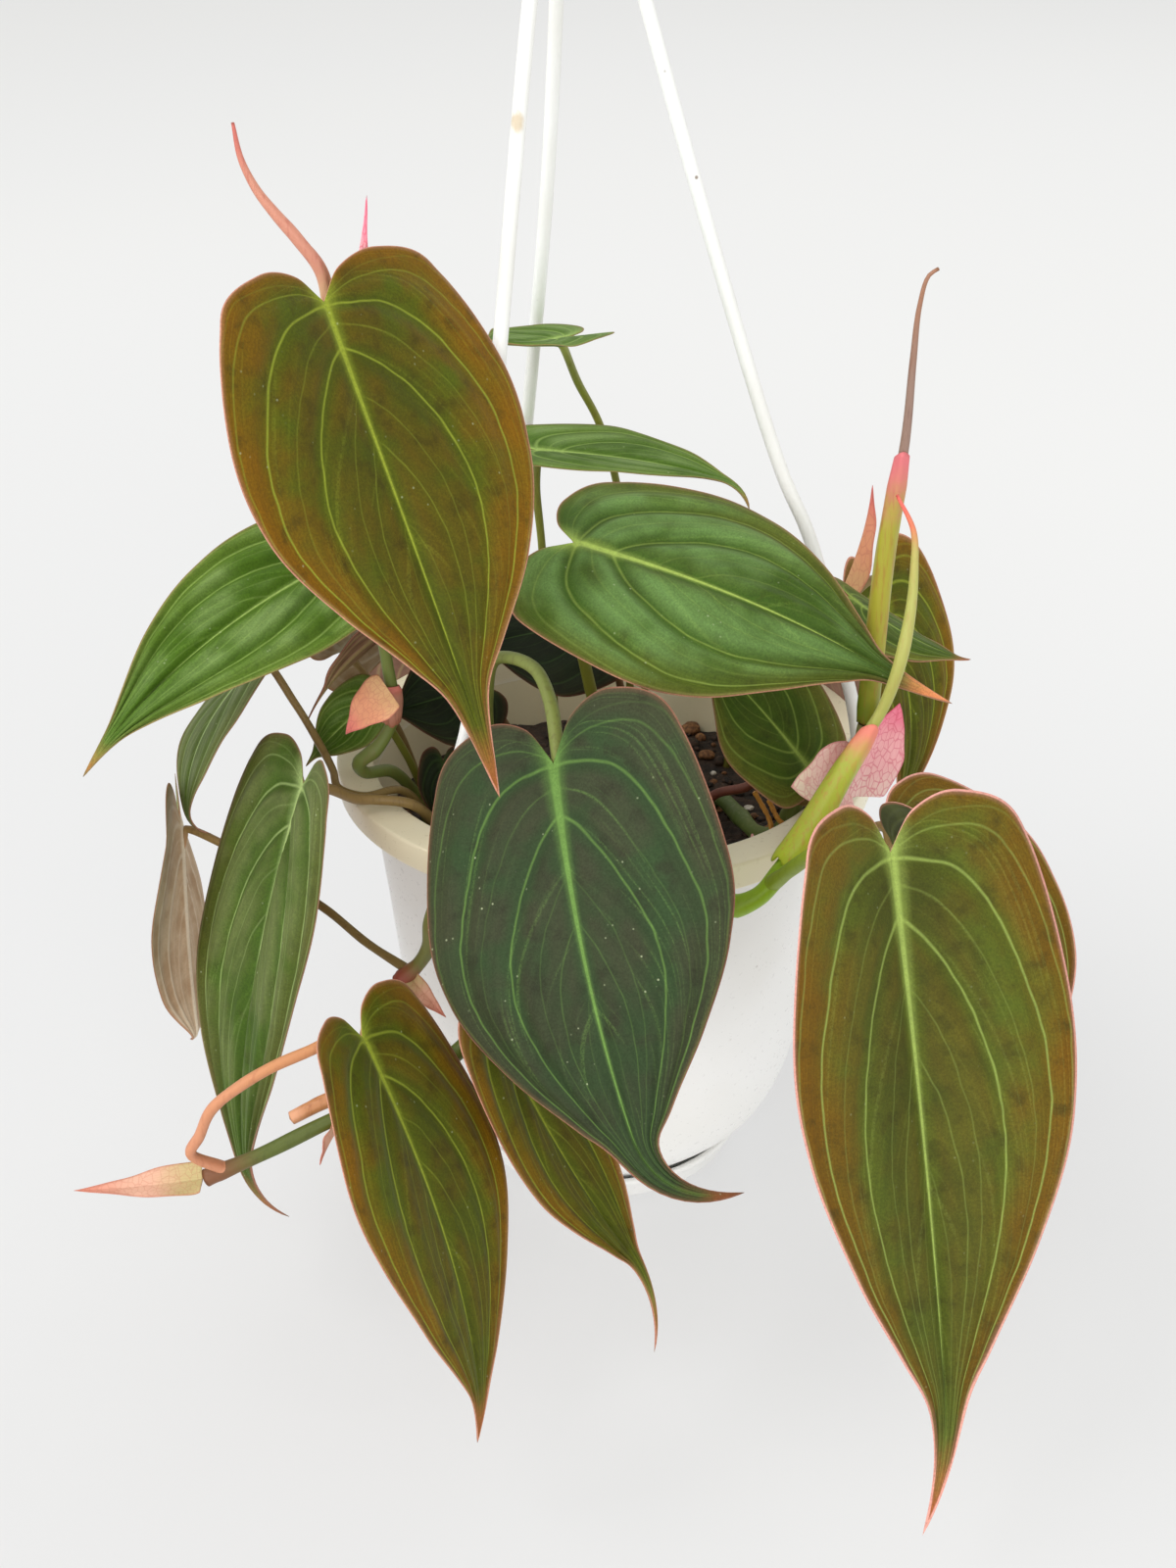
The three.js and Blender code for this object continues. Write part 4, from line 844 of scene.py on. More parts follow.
def vein_masks(f, v, u, half, nap, widen=1.0):
    """Lines of the side veins, and the soft valleys beside them."""
    share = abs(v) + (f.noise(8, detail=1.0) - 0.5) * 0.035
    fuzz = (nap - 0.5) * 1.1
    line, valley = 0.0, 0.0
    for start, reach, slow, bent, force in VEINS:
        away = ((u - start).math("MAXIMUM", 0) / slow).math("POWER", bent)
        gap = abs(share - reach + (-away).math("EXPONENT") * reach) * half
        there = f.step(u, start, start + 0.03) if start else 1.0
        width = (0.5 - u * 0.33) * (widen * (0.55 + 0.45 * force))
        fresh = f.step(gap / width + fuzz, 1.35, 0.1) * there * (force * 0.9)
        soft = f.step(gap, 4.2, 0.0) * there * force
        line = fresh if isinstance(line, float) else line.math("MAXIMUM", fresh)
        valley = soft if isinstance(valley, float) else valley.math("MAXIMUM", soft)
    return line, valley


def fibres(f, v, u):
    """Fine streaks that run the way the veins run."""
    sweep = (1.04 - abs(v)).math("LOGARITHM", math.e) + u * 3
    place = f.node("ShaderNodeCombineXYZ", inputs={0: sweep * ACROSS_FINE, 1: u * ALONG_FINE, 2: v * 0.5})
    return f.noise(1, place, detail=2.0)


RIB_FORCE, DUST, NAP_ROUGH, NAP_SHEEN = 0.9, (190, 200, 160), 0.55, 0.08
NAP_DARK, NAP_LIGHT, SHEEN_TINT = (0.78, 0.78, 0.78, 1), (1.24, 1.24, 1.22, 1), (0.8, 0.9, 0.5, 1)


def velvet(name, centre, between, edge, deep, vein, rim, tip, highlight_colour=None, highlight_force=0.0, edge_from=0.5,
           flecks=0.35, vein_force=0.6, rib=1.2, streaks=0.06, tip_from=0.84, rim_width=0.24, rib_fold_shade_force=0.35):
    """The upper face. After its colours come the force and the place of single marks."""
    f = Finish(name)
    v, u, y = f.attribute("place")
    half, across = f.attribute("spread")[:2]
    share, beside = abs(v), abs(across)
    margin = (1 - share) * half
    cloud, blotch = f.noise(16, detail=2.0), f.noise(5.5, detail=3.0)
    nap, thread = f.noise(0.5, detail=3.0, rough=0.7), fibres(f, v, u)
    line, valley = vein_masks(f, v, u, half, nap)
    valley = valley.math("MAXIMUM", f.step(beside, 4.5, 0.0))

    # Broad colours: the raised fields between the veins, the bronze margin, darker blotches, painted shade
    # in the fold beside the midrib and painted highlight bands on the crests.
    crest = (1 - valley) * f.step(cloud + (blotch - 0.5) * 0.3, 0.28, 0.6)
    colour = f.mix(crest, centre, between)
    outward = share + (cloud - 0.5) * 0.5 + (blotch - 0.5) * 0.2 + y * 0.2
    colour = f.mix(f.step(outward, edge_from, edge_from + 0.6), colour, edge)
    colour = f.mix(f.step(blotch + (thread - 0.5) * 0.3, 0.5, 0.76) * 0.6, colour, deep)
    colour = f.mix(f.step(y, 0.3, 0.95) * 0.4, colour, deep)
    # Painted shade: the fold beside the midrib is darkened where shade falls in it.
    rib_fold_painted_shade = f.step(beside, 1.0, 3.5) * f.step(share, 0.66, 0.2) * f.step(y, 0.8, 0.3)
    colour = f.mix(rib_fold_painted_shade * f.step(cloud, 0.75, 0.35) * rib_fold_shade_force, colour, deep)
    # Painted highlight: light bands along the crests between the veins.
    if highlight_force:
        crest_painted_highlight = (1 - valley) * f.step(share, 0.04, 0.2) * f.step(share, 1.0, 0.8)
        colour = f.mix(crest_painted_highlight * f.step(cloud, 0.3, 0.6) * highlight_force, colour, highlight_colour)
    colour = f.mix(f.step(thread, 0.58, 0.7) * f.step(nap, 0.3, 0.6) * streaks, colour, vein)

    # Veins: a glow at the junction and along the midrib, the side veins, and the midrib itself.
    glow = f.step(u, 0.16, 0.02) * f.step(beside, 6.5, 0.5)
    wide = ((y * -5).math("EXPONENT") + 0.14) * rib
    colour = f.mix((glow * 0.75).math("MAXIMUM", f.step(beside / wide, 2.6, 0.6) * 0.35), colour, vein)
    colour = f.mix(line * vein_force, colour, vein)
    stripe = f.step(beside / wide + (nap - 0.5) * 0.9, 1.1, 0.45) * f.step(y, 0.97, 0.8)
    colour = f.mix(stripe * RIB_FORCE, colour, vein)

    # The rim, the drip tip, dust and the grain of the nap.
    colour = f.mix(f.step(margin, 1.4, 0.2) * 0.2, colour, rim)
    colour = f.mix(f.step(y + (blotch - 0.5) * 0.08, tip_from, tip_from + 0.13), colour, tip)
    colour = f.mix(f.step(margin, rim_width * 1.4, rim_width * 0.6) * 0.9, colour, rim)
    dust = f.step(f.cells(2.6), 0.13, 0.05) * f.step(f.noise(9), 0.5, 0.64)
    colour = f.mix(dust * flecks, colour, DUST)
    grain = f.step(nap + (thread - 0.5) * 0.5, 0.22, 0.8)
    colour = f.mix(1.0, colour, f.mix(grain, NAP_DARK, NAP_LIGHT), "MULTIPLY")
    height = nap * 0.4 + blotch * 0.5 + thread * 0.5 - line * 0.5 - stripe * 0.4
    return f.surface(Base_Color=colour, Roughness=nap * 0.16 + NAP_ROUGH, Normal=f.bump(height, 0.5, 0.3),
                     Specular_IOR_Level=0.14, Sheen_Weight=NAP_SHEEN, Sheen_Roughness=0.4,
                     Sheen_Tint=SHEEN_TINT)


print("velvet: veins from", len(VEINS), "curves a side")

# %% [markdown]
# ## Lower faces and petioles
# Below, the blade is paler and duller, and its veins are wider. The same masks draw them. Petioles and
# stems need no place on a leaf: they carry how far along they are, and long streaks follow from noise
# that is stretched along the upright axis.

# %% Lower face and stalk finishes
UNDER_DARK, UNDER_LIGHT = (0.82, 0.82, 0.82, 1), (1.15, 1.15, 1.15, 1)


def leaf_under(name, face, deep, vein, rim):
    """The lower face: paler and duller, with every vein standing out."""
    f = Finish(name)
    v, u, y = f.attribute("place")
    half, across = f.attribute("spread")[:2]
    cloud, nap = f.noise(9, detail=4.0), f.noise(0.6, detail=3.0)
    colour = f.mix(f.step(cloud, 0.35, 0.7), face, deep)
    line = vein_masks(f, v, u, half, nap, widen=1.7)[0]
    colour = f.mix(line * 0.6, colour, vein)
    colour = f.mix(f.step(abs(across) / (1.7 - y * 1.3), 1.0, 0.45) * 0.8, colour, vein)
    colour = f.mix(f.step((1 - abs(v)) * half, 0.8, 0.2) * 0.8, colour, rim)
    colour = f.mix(1.0, colour, f.mix(nap, UNDER_DARK, UNDER_LIGHT), "MULTIPLY")
    return f.surface(Base_Color=colour, Roughness=nap * 0.15 + 0.5,
                     Normal=f.bump(nap * 0.5 + line, 0.4, 0.25), Specular_IOR_Level=0.15)


def stalk_finish(name, low, high, ends, streak=(90, 60, 40), gloss=0.42):
    """Petioles and stems: long faint streaks, a little gloss, and a paler end."""
    f = Finish(name)
    share = f.attribute("run")[0]
    lines = f.noise(1.1, f.here(stretch=(1, 1, 0.16)), detail=3.0)
    cloud = f.noise(11, detail=2.0)
    colour = f.mix(f.step(share + (cloud - 0.5) * 0.5, 0.15, 0.85), low, high)
    colour = f.mix(f.step(lines, 0.5, 0.75) * 0.35, colour, streak)
    colour = f.mix(f.step(share, 0.9, 0.985), colour, ends)
    colour = f.mix(f.step(f.cells(1.3), 0.16, 0.05) * 0.25, colour, streak)
    return f.surface(Base_Color=colour, Roughness=lines * 0.15 + gloss,
                     Normal=f.bump(lines + cloud * 0.3, 0.25, 0.3), Specular_IOR_Level=0.4)


print("lower faces and stalks ready")

# %% [markdown]
# ## The colours of this plant
# Leaves of one plant differ: here some are green with painted highlight bands on their pleats, others
# bronze, and those deep inside are painted nearly black, a painted shade. Nine upper faces, four lower
# ones and six petioles are enough. Their colours were set by comparing renders with the photograph,
# place by place.

# %% Colours of faces and petioles
# Upper face: the field's middle, its outer part, the margin, blotches, veins, rim, tip, and the colour
# and force of the painted highlight bands.
PINK_RIM, BROWN_TIP = (160, 110, 90), (150, 92, 56)
UPPER = {
    "bronze": velvet("velvet_bronze", (78, 88, 12), (92, 78, 12), (124, 84, 6), (56, 50, 8), (148, 160, 52),
                     (206, 146, 124), (150, 90, 46), edge_from=0.52, streaks=0.1, vein_force=0.75),
    "olive": velvet("velvet_olive", (82, 94, 26), (90, 84, 24), (110, 76, 10), (54, 52, 14), (156, 176, 88),
                    (232, 166, 154), (158, 92, 50), streaks=0.08, flecks=0.15, rib=1.6, vein_force=0.65,
                    rim_width=0.42, rib_fold_shade_force=0.6),
    "dark": velvet("velvet_dark", (50, 70, 40), (60, 64, 44), (60, 64, 42), (42, 44, 30), (108, 144, 70),
                   PINK_RIM, BROWN_TIP, edge_from=0.6, flecks=0.6, rib=1.7, streaks=0.2, rib_fold_shade_force=0.15),
    "green": velvet("velvet_green", (60, 88, 24), (84, 104, 44), (84, 90, 24), (54, 64, 14), (160, 182, 88),
                    (176, 124, 100), (240, 152, 98), (108, 146, 82), 0.6, edge_from=0.55, rib=1.3,
                    vein_force=0.35, tip_from=0.8),
    "fresh": velvet("velvet_fresh", (72, 104, 22), (86, 116, 36), (96, 122, 42), (54, 84, 14),
                    (160, 188, 100), (150, 130, 84), (170, 104, 56), (146, 172, 108), 0.55,
                    vein_force=0.5, tip_from=0.88),
    # Painted shade: the leaves deep inside the plant are painted nearly black.
    "night": velvet("velvet_painted_shade", (20, 32, 10), (26, 32, 12), (30, 30, 12), (12, 16, 6), (50, 70, 30),
                    (100, 62, 46), (100, 60, 40), rib=0.8, streaks=0.1, flecks=0.1, vein_force=0.5),
    "deep": velvet("velvet_deep", (66, 90, 20), (76, 90, 26), (104, 104, 36), (46, 58, 10), (140, 162, 72),
                   (168, 118, 94), (140, 88, 54), rib=1.0, flecks=0.25),
    "leek": velvet("velvet_leek", (66, 84, 26), (76, 86, 44), (84, 88, 40), (50, 60, 18), (150, 168, 112),
                   (150, 110, 88), (130, 84, 54), (116, 124, 88), 0.5, rib=0.9, vein_force=0.5),
    "sage": velvet("velvet_sage", (64, 90, 24), (80, 92, 38), (78, 80, 28), (52, 64, 16), (164, 184, 116),
                   (150, 112, 92), (156, 96, 62), (112, 122, 76), 0.45, rib=1.0),
}
UNDER = {
    "mauve": leaf_under("under_mauve", (150, 112, 92), (122, 88, 70), (176, 156, 108), (186, 124, 104)),
    "beige": leaf_under("under_beige", (196, 172, 142), (170, 140, 106), (226, 214, 190), (176, 126, 92)),
    "green": leaf_under("under_green", (122, 138, 74), (98, 112, 56), (160, 178, 100), (170, 124, 96)),
    "moss": leaf_under("under_moss", (84, 92, 46), (66, 72, 32), (120, 132, 76), (150, 104, 84)),
}
STALK = {
    "green": stalk_finish("stalk_green", (124, 132, 62), (130, 140, 70), (196, 140, 110)),
    "brown": stalk_finish("stalk_brown", (124, 104, 56), (142, 116, 68), (178, 136, 96), (92, 62, 38)),
    "olive": stalk_finish("stalk_olive", (106, 104, 32), (124, 128, 44), (150, 156, 72)),
    "tan": stalk_finish("stalk_tan", (206, 140, 104), (196, 134, 84), (190, 150, 92), (166, 96, 66)),
    "lime": stalk_finish("stalk_lime", (140, 164, 40), (150, 170, 56), (170, 186, 80), (110, 130, 30)),
    "dark": stalk_finish("stalk_dark", (92, 68, 40), (112, 84, 50), (140, 112, 74), (62, 38, 24)),
}
print(len(UPPER), "upper faces,", len(UNDER), "lower faces,", len(STALK), "petioles")

# %% [markdown]
# ## Stems
# Six shoots come out of the soil. A stem is a tube that swells at its nodes, where a leaf or a bract
# sat, with a thin ring scar there. Stems lie on the solids' own routes. A node could be a separate ring,
# but a change in the tube's radius keeps the skin in one piece.

# %% Grow the stems
STEMS = {
    "stem_left_shoot": dict(radius=1.6, taper=0.85, nodes=(0.33, 0.92), points=[
        (-44, -5, 92), (-48, -12, 114), (-54, -19, 127), (-60, -27.5, 131.5), (-61, -29.5, 135),
        (-56, -29, 139.5), (-52, -28, 147), (-52.5, -29, 162), (-55, -36, 194), (-56, -46, 228),
        (-57, -51, 249)]),
    "stem_front_left": dict(radius=1.9, taper=0.9, nodes=(0.97,), points=[
        (-24, -30, 92), (-27, -40, 114), (-30, -49, 127), (-33, -58, 129), (-38, -67, 124),
        (-42, -67, 112), (-43, -65, 104), (-46, -63.5, 98), (-51, -63, 93)]),
    "stem_trailing": dict(radius=1.9, taper=0.9, nodes=(0.62, 0.99), points=[
        (-8, -36, 92), (-10, -47, 114), (-13, -61, 128.8), (-17, -72.5, 124), (-24, -77, 108),
        (-34, -82, 88), (-50, -92, 82), (-66, -97, 77), (-80, -100, 71), (-94, -101, 64.6)]),
    "stem_right_front": dict(radius=2.7, taper=0.8, nodes=(0.72,), points=[
        (8, -34, 92), (12, -44, 114), (18, -59, 129), (23, -70, 126), (27.5, -74.5, 121),
        (34, -74.5, 123), (39, -72.5, 128), (43, -70.6, 133.5), (46.5, -68.8, 138.5)]),
    "stem_right_rear": dict(radius=2.1, taper=0.95, nodes=(0.3, 0.62), points=[
        (24, 8, 92), (30, 3, 106), (35, -8, 107), (39, -22, 109.5), (43, -30, 114.5), (45.5, -33.3, 121),
        (48, -35, 128), (53, -37.5, 131.5), (60.5, -39.8, 141), (62, -40, 150)]),
    "stem_right_back": dict(radius=1.3, taper=0.9, nodes=(0.96,), points=[
        (22, -4, 92), (28, -7, 112), (38, -11, 118), (48, -8, 132), (56, 0, 150), (60.5, 4, 164)]),
}
STEM_FINISH = {
    "stem_left_shoot": ("stem_green", (104, 116, 52), (110, 124, 60), (150, 130, 84), (120, 84, 52)),
    "stem_front_left": ("stem_green_red", (92, 104, 44), (108, 110, 50), (150, 76, 60), (126, 66, 48)),
    "stem_trailing": ("stem_grass", (74, 92, 24), (88, 100, 32), (124, 80, 50), (58, 72, 22)),
    "stem_right_front": ("stem_bright", (112, 150, 20), (150, 188, 34), (170, 200, 60), (100, 138, 20), 0.3),
    "stem_right_rear": ("stem_pale", (76, 96, 40), (104, 118, 56), (150, 150, 96), (150, 146, 110)),
    "stem_right_back": ("stem_red", (112, 62, 48), (128, 74, 54), (140, 96, 70), (70, 34, 28)),
}
ROW_SPACING, STEM_SIDES = 0.8, 22
NODE_SWELL, NODE_LONG, SCAR_RAISED, SCAR_SUNK, SCAR_LONG = 0.22, 0.03, 0.16, 0.1, 0.004


def stem_radius(name, share):
    """A stem's radius: thinner towards its end, thicker at its nodes."""
    stem = STEMS[name]
    near = max(np.exp(-(((share - node) / NODE_LONG) ** 2)) for node in stem["nodes"])
    return stem["radius"] * (1 + (stem["taper"] - 1) * share) * (1 + NODE_SWELL * near)


for name, stem in STEMS.items():
    shares = np.linspace(0, 1, int(route(stem["points"])[1][-1] / ROW_SPACING))
    swell = np.array([stem_radius(name, share) for share in shares])
    for node in stem["nodes"]:
        swell += SCAR_RAISED * np.exp(-(((shares - node - 0.012) / SCAR_LONG) ** 2))
        swell -= SCAR_SUNK * np.exp(-(((shares - node + 0.002) / SCAR_LONG) ** 2))
    swell = swell * (1 + 0.03 * np.sin(shares * 60))
    shape = tube(Shape(), along(stem["points"], shares), swell, STEM_SIDES)
    shape.dress(name, [stalk_finish(*STEM_FINISH[name])], "green_stem")
print(len(STEMS), "stems")

# %% [markdown]
# ## Leaves and their petioles
# Each leaf is one piece: the blade, and the petiole that comes out of a stem or the soil and runs on
# under the midrib. The petiole could end at the blade, but a real one thins away along the midrib, so
# the route goes on below the skin. The lower face and the petiole have finishes of their own.

# %% Table of the leaves
# Each row: the name, the finishes of its upper face, lower face and petiole, the junction, the tip, the
# places that the petiole runs through, and the form where it differs from LEAF_DEFAULTS.
LEAVES = [
    ("leaf_upper_left", "bronze mauve tan", (-57, -62, 258), (-23, -98, 163),
     [(-57, -57, 249)],
     dict(start=("stem_left_shoot", 0.93), petiole=1.5, fine=True, width=74, lobe=8, tail=0.2, wide=0.2,
          roll=-13, fold=7, droop=-6, sweep=11, twist=-34, left=1.12, pleat=1.3)),
    ("leaf_front_centre", "dark mauve green", (-12, -73.5, 158), (29, -121.5, 76),
     [(-26, -10, 92), (-28, -16, 118), (-29, -27, 150), (-26, -36, 166), (-17, -47, 169), (-13, -58, 166)],
     dict(petiole=1.6, fine=True, width=77, lobe=13, tail=0.24, wide=0.24, roll=61, fold=1, droop=34,
          sweep=-3, twist=21, curl=46, curl_side=-118, left=0.95)),
    ("leaf_front_right", "olive mauve lime", (57, -112, 157), (64, -172, 26),
     [(44, -88, 142), (51, -101, 155)],
     dict(start=("stem_right_front", 0.835), petiole=1.7, fine=True, width=70, lobe=11, tail=0.19,
          wide=0.21, roll=-26, fold=19, droop=13, sweep=-6, twist=-28, curl_side=33, left=1.05)),
    ("leaf_lower_left", "bronze mauve tan", (-54, -112, 112), (-31, -140, 20),
     [(-96, -104, 74), (-93, -106, 81), (-89, -108, 90), (-82, -109, 97), (-74, -110, 103),
      (-66, -110, 107), (-60, -110, 110)],
     dict(start=("stem_trailing", 0.97), petiole=1.3, fine=True, width=58, lobe=8, tail=0.13, wide=0.21,
          roll=-35, fold=9, droop=32, sweep=-14, twist=-21, curl_side=17)),
    ("leaf_left_pleated", "sage mauve brown", (-72, -48, 139), (-81, -75, 30),
     [(-34, -20, 92), (-38, -28, 112), (-43, -33.5, 121), (-48, -36, 127), (-57, -36.7, 128.8),
      (-61, -38.5, 130), (-67, -44, 136)],
     dict(petiole=1.3, fine=True, width=58, lobe=9, tail=0.17, wide=0.19, roll=44, fold=11, droop=27,
          sweep=-1, twist=18, curl=48, curl_side=-16, left=1.06, pleat=2.0)),
    ("leaf_right_high", "green green olive", (-7, -36, 195), (80, -50, 160),
     [(4, -6, 92), (2, -10, 120), (-4, -20, 152), (-8, -30, 182)],
     dict(petiole=1.5, fine=True, width=62, lobe=9, tail=0.22, wide=0.22, roll=19, fold=-5, droop=41,
          sweep=-14, twist=-17, curl_side=-33, left=1.05, pleat=2.3)),
    ("leaf_left_fresh", "fresh green olive", (-57, -5, 182.7), (-121, -58.5, 147.7),
     [(-56, -18, 183)],
     dict(start=("stem_left_shoot", 0.58), fine=True, width=38, lobe=12, tail=0.13, wide=0.26, roll=-26,
          fold=6, droop=60, twist=10, left=1.05, pleat=2.0)),
    ("leaf_low_centre", "bronze mauve brown", (-27, -90, 98.5), (10, -109, 16.3),
     [(-31, -87.5, 94.5)],
     dict(start=("stem_trailing", 0.583), petiole=1.2, fine=True, width=36, lobe=11, tail=0.23, wide=0.22,
          roll=1, fold=12, droop=-15, sweep=-8, twist=-7, curl=24, curl_side=55)),
    ("leaf_back_high", "fresh green olive", (-16, 25, 196), (37, 10, 185),
     [(-12, 16, 92), (-14, 20, 140), (-16, 23.5, 172), (-17, 24, 188)],
     dict(width=35, lobe=12, tail=0.17, fold=12, droop=14, sweep=15, curl=39, curl_side=50)),
    ("leaf_topmost", "fresh green olive", (-10, 22, 226), (-30, 4, 233),
     [(8, 30, 92), (7, 38, 140), (5, 46, 174), (0, 46, 195), (-6, 38, 210)],
     dict(width=26, lobe=12, roll=4, fold=11, droop=-18, twist=8, curl=-30)),
    ("leaf_front_right_under", "olive moss brown", (64, -81.5, 140), (99, -107.5, 84),
     [(52, -42, 129.2), (57.5, -50, 128.8), (61, -60, 133), (63, -72, 139.5)],
     dict(start=("stem_right_rear", 0.7), petiole=1.2, fine=True, width=55, lobe=9, tail=0.21, wide=0.23,
          roll=-27, fold=40, droop=52, sweep=-4, twist=-13, left=1.08)),
    ("leaf_right_inner", "deep mauve brown", (49, -34.5, 135.5), (20, -24, 165),
     [(49.3, -34, 132.8)],
     dict(start=("stem_right_rear", 0.735), width=36, lobe=5, tail=0.15, wide=0.25, roll=-24, droop=10,
          sweep=-10, twist=12)),
    ("leaf_right_rear", "bronze mauve brown", (74, 22, 155), (77, 10, 97),
     [(69, 10, 166), (74, 18, 161)],
     dict(start=("stem_right_back", 0.96), fine=True, width=33, lobe=15, tail=0.1, wide=0.17, roll=-24,
          fold=7, droop=25, sweep=40, twist=7, curl=25, curl_side=15, left=1.3)),
    ("leaf_left_underside", "sage beige brown", (-108, -25.6, 114.6), (-110, -35.6, 56.6),
     [(-59, -55, 99), (-69, -48, 104), (-83, -37, 107), (-97, -29.5, 112.5)],
     dict(start=("stem_front_left", 0.96), width=47, lobe=13, tail=0.11, wide=0.23, roll=72, fold=9,
          droop=3, sweep=30, twist=-33, curl=-44, curl_side=46)),
    ("leaf_left_folded", "leek mauve brown", (-89, -12, 152), (-99, -32, 117),
     [(-40, -14, 92), (-44, -22, 112), (-51, -28.5, 126.8), (-60, -33.5, 128), (-66, -33, 130),
      (-68, -27, 132), (-72, -20, 136), (-78, -14, 144), (-86, -9.5, 154)],
     dict(width=33, lobe=12, tail=0.17, wide=0.22, roll=42, fold=4, droop=61, twist=13, curl=71,
          curl_side=13)),
    ("leaf_right_small", "deep mauve brown", (61, -12, 170), (89, -24, 159),
     [(60, -5, 166)],
     dict(start=("stem_right_back", 0.93), width=28, lobe=8, tail=0.11, roll=-4, fold=-8, droop=-16,
          sweep=-18, curl=-17)),
    # The leaves with the nearly black finish sit deep inside; that finish is a painted shade.
    ("leaf_inner_dark", "night mauve dark", (-2, 2, 158), (-36, 4, 150),
     [(6, 6, 92), (4, 6, 140)],
     dict(width=40, lobe=9, roll=-40)),
    ("leaf_inner_red_edge", "night mauve dark", (-33, -12, 147), (-56, -17, 142),
     [(-20, -2, 92), (-24, -6, 130)],
     dict(width=28, lobe=7, roll=-60)),
    ("leaf_inner_low", "night mauve dark", (-41, -20, 130), (-41, -27, 112),
     [(-29, -5, 92), (-36, -14.5, 123)],
     dict(petiole=1.1, width=13, lobe=4, droop=28)),
    ("leaf_pale_underside", "sage beige brown", (-68, 10, 148), (-45, 27, 163),
     [(-46, 6, 92), (-53, 7, 121), (-61, 9, 138)],
     dict(width=34, lobe=9, roll=-75)),
    ("leaf_narrow_dark", "night mauve dark", (-48, -2, 164), (-77, -6, 134),
     [(-36, 4, 92), (-40, 3, 135), (-45, 1, 160)],
     dict(width=22, lobe=4, tail=0.25, roll=35, droop=35)),
    ("leaf_inner_light", "fresh green olive", (-60, -8, 141), (-77, -12, 125),
     [(-44, 0, 92), (-51, -4, 122)],
     dict(width=20, lobe=5, roll=-30)),
    ("leaf_back_right", "green mauve olive", (52, 46, 142), (72, 72, 76),
     [(32, 26, 92), (40, 34, 124), (47, 42, 139)],
     dict(width=44)),
    ("leaf_back_centre", "bronze mauve green", (16, 70, 138), (26, 102, 52),
     [(10, 44, 92), (13, 52, 126), (15, 63, 137)],
     dict(fine=True, width=52)),
    ("leaf_back_left", "green mauve olive", (-48, 52, 136), (-58, 84, 66),
     [(-34, 30, 92), (-39, 38, 122), (-45, 48, 134)],
     dict(width=36)),
]
print(sum("fine" in form for *_, form in LEAVES), "of", len(LEAVES), "leaves get the fine net")

# %% [markdown]
# ## Growing them
# The places and forms above are all that a leaf needs. The blade comes first, because its midrib says
# where the petiole ends. Small leaves, and most of those inside or behind, get a coarser net.

# %% Grow every leaf
FINE, PLAIN = (112, 30), (64, 18)
PLAIN_PLEAT, PLAIN_WAVE = 0.45, 0.3
# The petiole runs on under the midrib: at the first row, the knee and the end, the share of the blade
# that it has come to, and how many radii it lies below the skin.
KNEE, END = 0.08, 0.2
FIRST_SUNK, KNEE_SUNK, END_SUNK = 1.15, 1.0, 0.35


def start_on_stem(name, share, towards):
    """A point inside the stem's skin, on the side that the petiole leaves by."""
    centre, ahead = along(STEMS[name]["points"], [share, min(share + 0.01, 1)])
    way = np.array(towards, float) - centre
    if np.linalg.norm(ahead - centre) > 1e-6:
        on = unit(ahead - centre)
        way = way - on * np.dot(way, on)
    return centre + unit(way) * stem_radius(name, share) * 0.45


def petiole_section(share, turn_by):
    """A petiole is round with a shallow groove along its upper side."""
    return 1 - 0.12 * np.exp(-(((turn_by - 1.6) / 0.5) ** 2)) + 0.02 * np.sin(share * 40)


def grow_petiole(shape, leaf, normals, rib):
    """The petiole from its stem or the soil to a place under the midrib."""
    rows, radius = len(rib) - 1, leaf["petiole"]
    knee, further = (int(rows * share ** (1 / ROWS_CLOSER)) for share in (KNEE, END))
    start = [start_on_stem(*leaf["start"], leaf["stalk"][0])] if "start" in leaf else []
    ends = [rib[row] - normals[row] * radius * sunk
            for row, sunk in ((1, FIRST_SUNK), (knee, KNEE_SUNK), (further, END_SUNK))]
    path = [*start, *leaf["stalk"], *ends]
    length = route(path)[1][-1]
    shares = np.linspace(0, 1, max(24, int(length / 1.1)))
    blade_share = (length - np.linalg.norm(ends[2] - ends[0])) / length
    thick = radius * np.interp(shares, [0, 0.05, 0.12, blade_share - 0.05, blade_share, 1],
                               [1.2, 1.1, 1, 1, 1, 0.25])
    tube(shape, along(path, shares), thick, kind=2, seam=petiole_section)


faces_made = 0
for name, look, base, tip, stalk, form in LEAVES:
    leaf = {**LEAF_DEFAULTS, "base": base, "tip": tip, "stalk": stalk, **form}
    if not leaf["fine"]:
        leaf["pleat"], leaf["wave"] = PLAIN_PLEAT, PLAIN_WAVE
    shape = Shape()
    grow_petiole(shape, leaf, *grow_blade(shape, leaf, *(FINE if leaf["fine"] else PLAIN)))
    upper, under, petiole = look.split()
    shape.dress(name, [UPPER[upper], UNDER[under], STALK[petiole]], "velvet_leaf")
    faces_made += len(shape.faces)
print(len(LEAVES), "leaves,", faces_made, "faces")

# %% [markdown]
# ## Bracts
# At some nodes a thin pink bract clasps the stem. It is made like a small leaf with a lance's outline,
# folded along its keel. A net of darker red veins shows on the pink. Voronoi cells give that net when
# their edges are stretched along the bract.

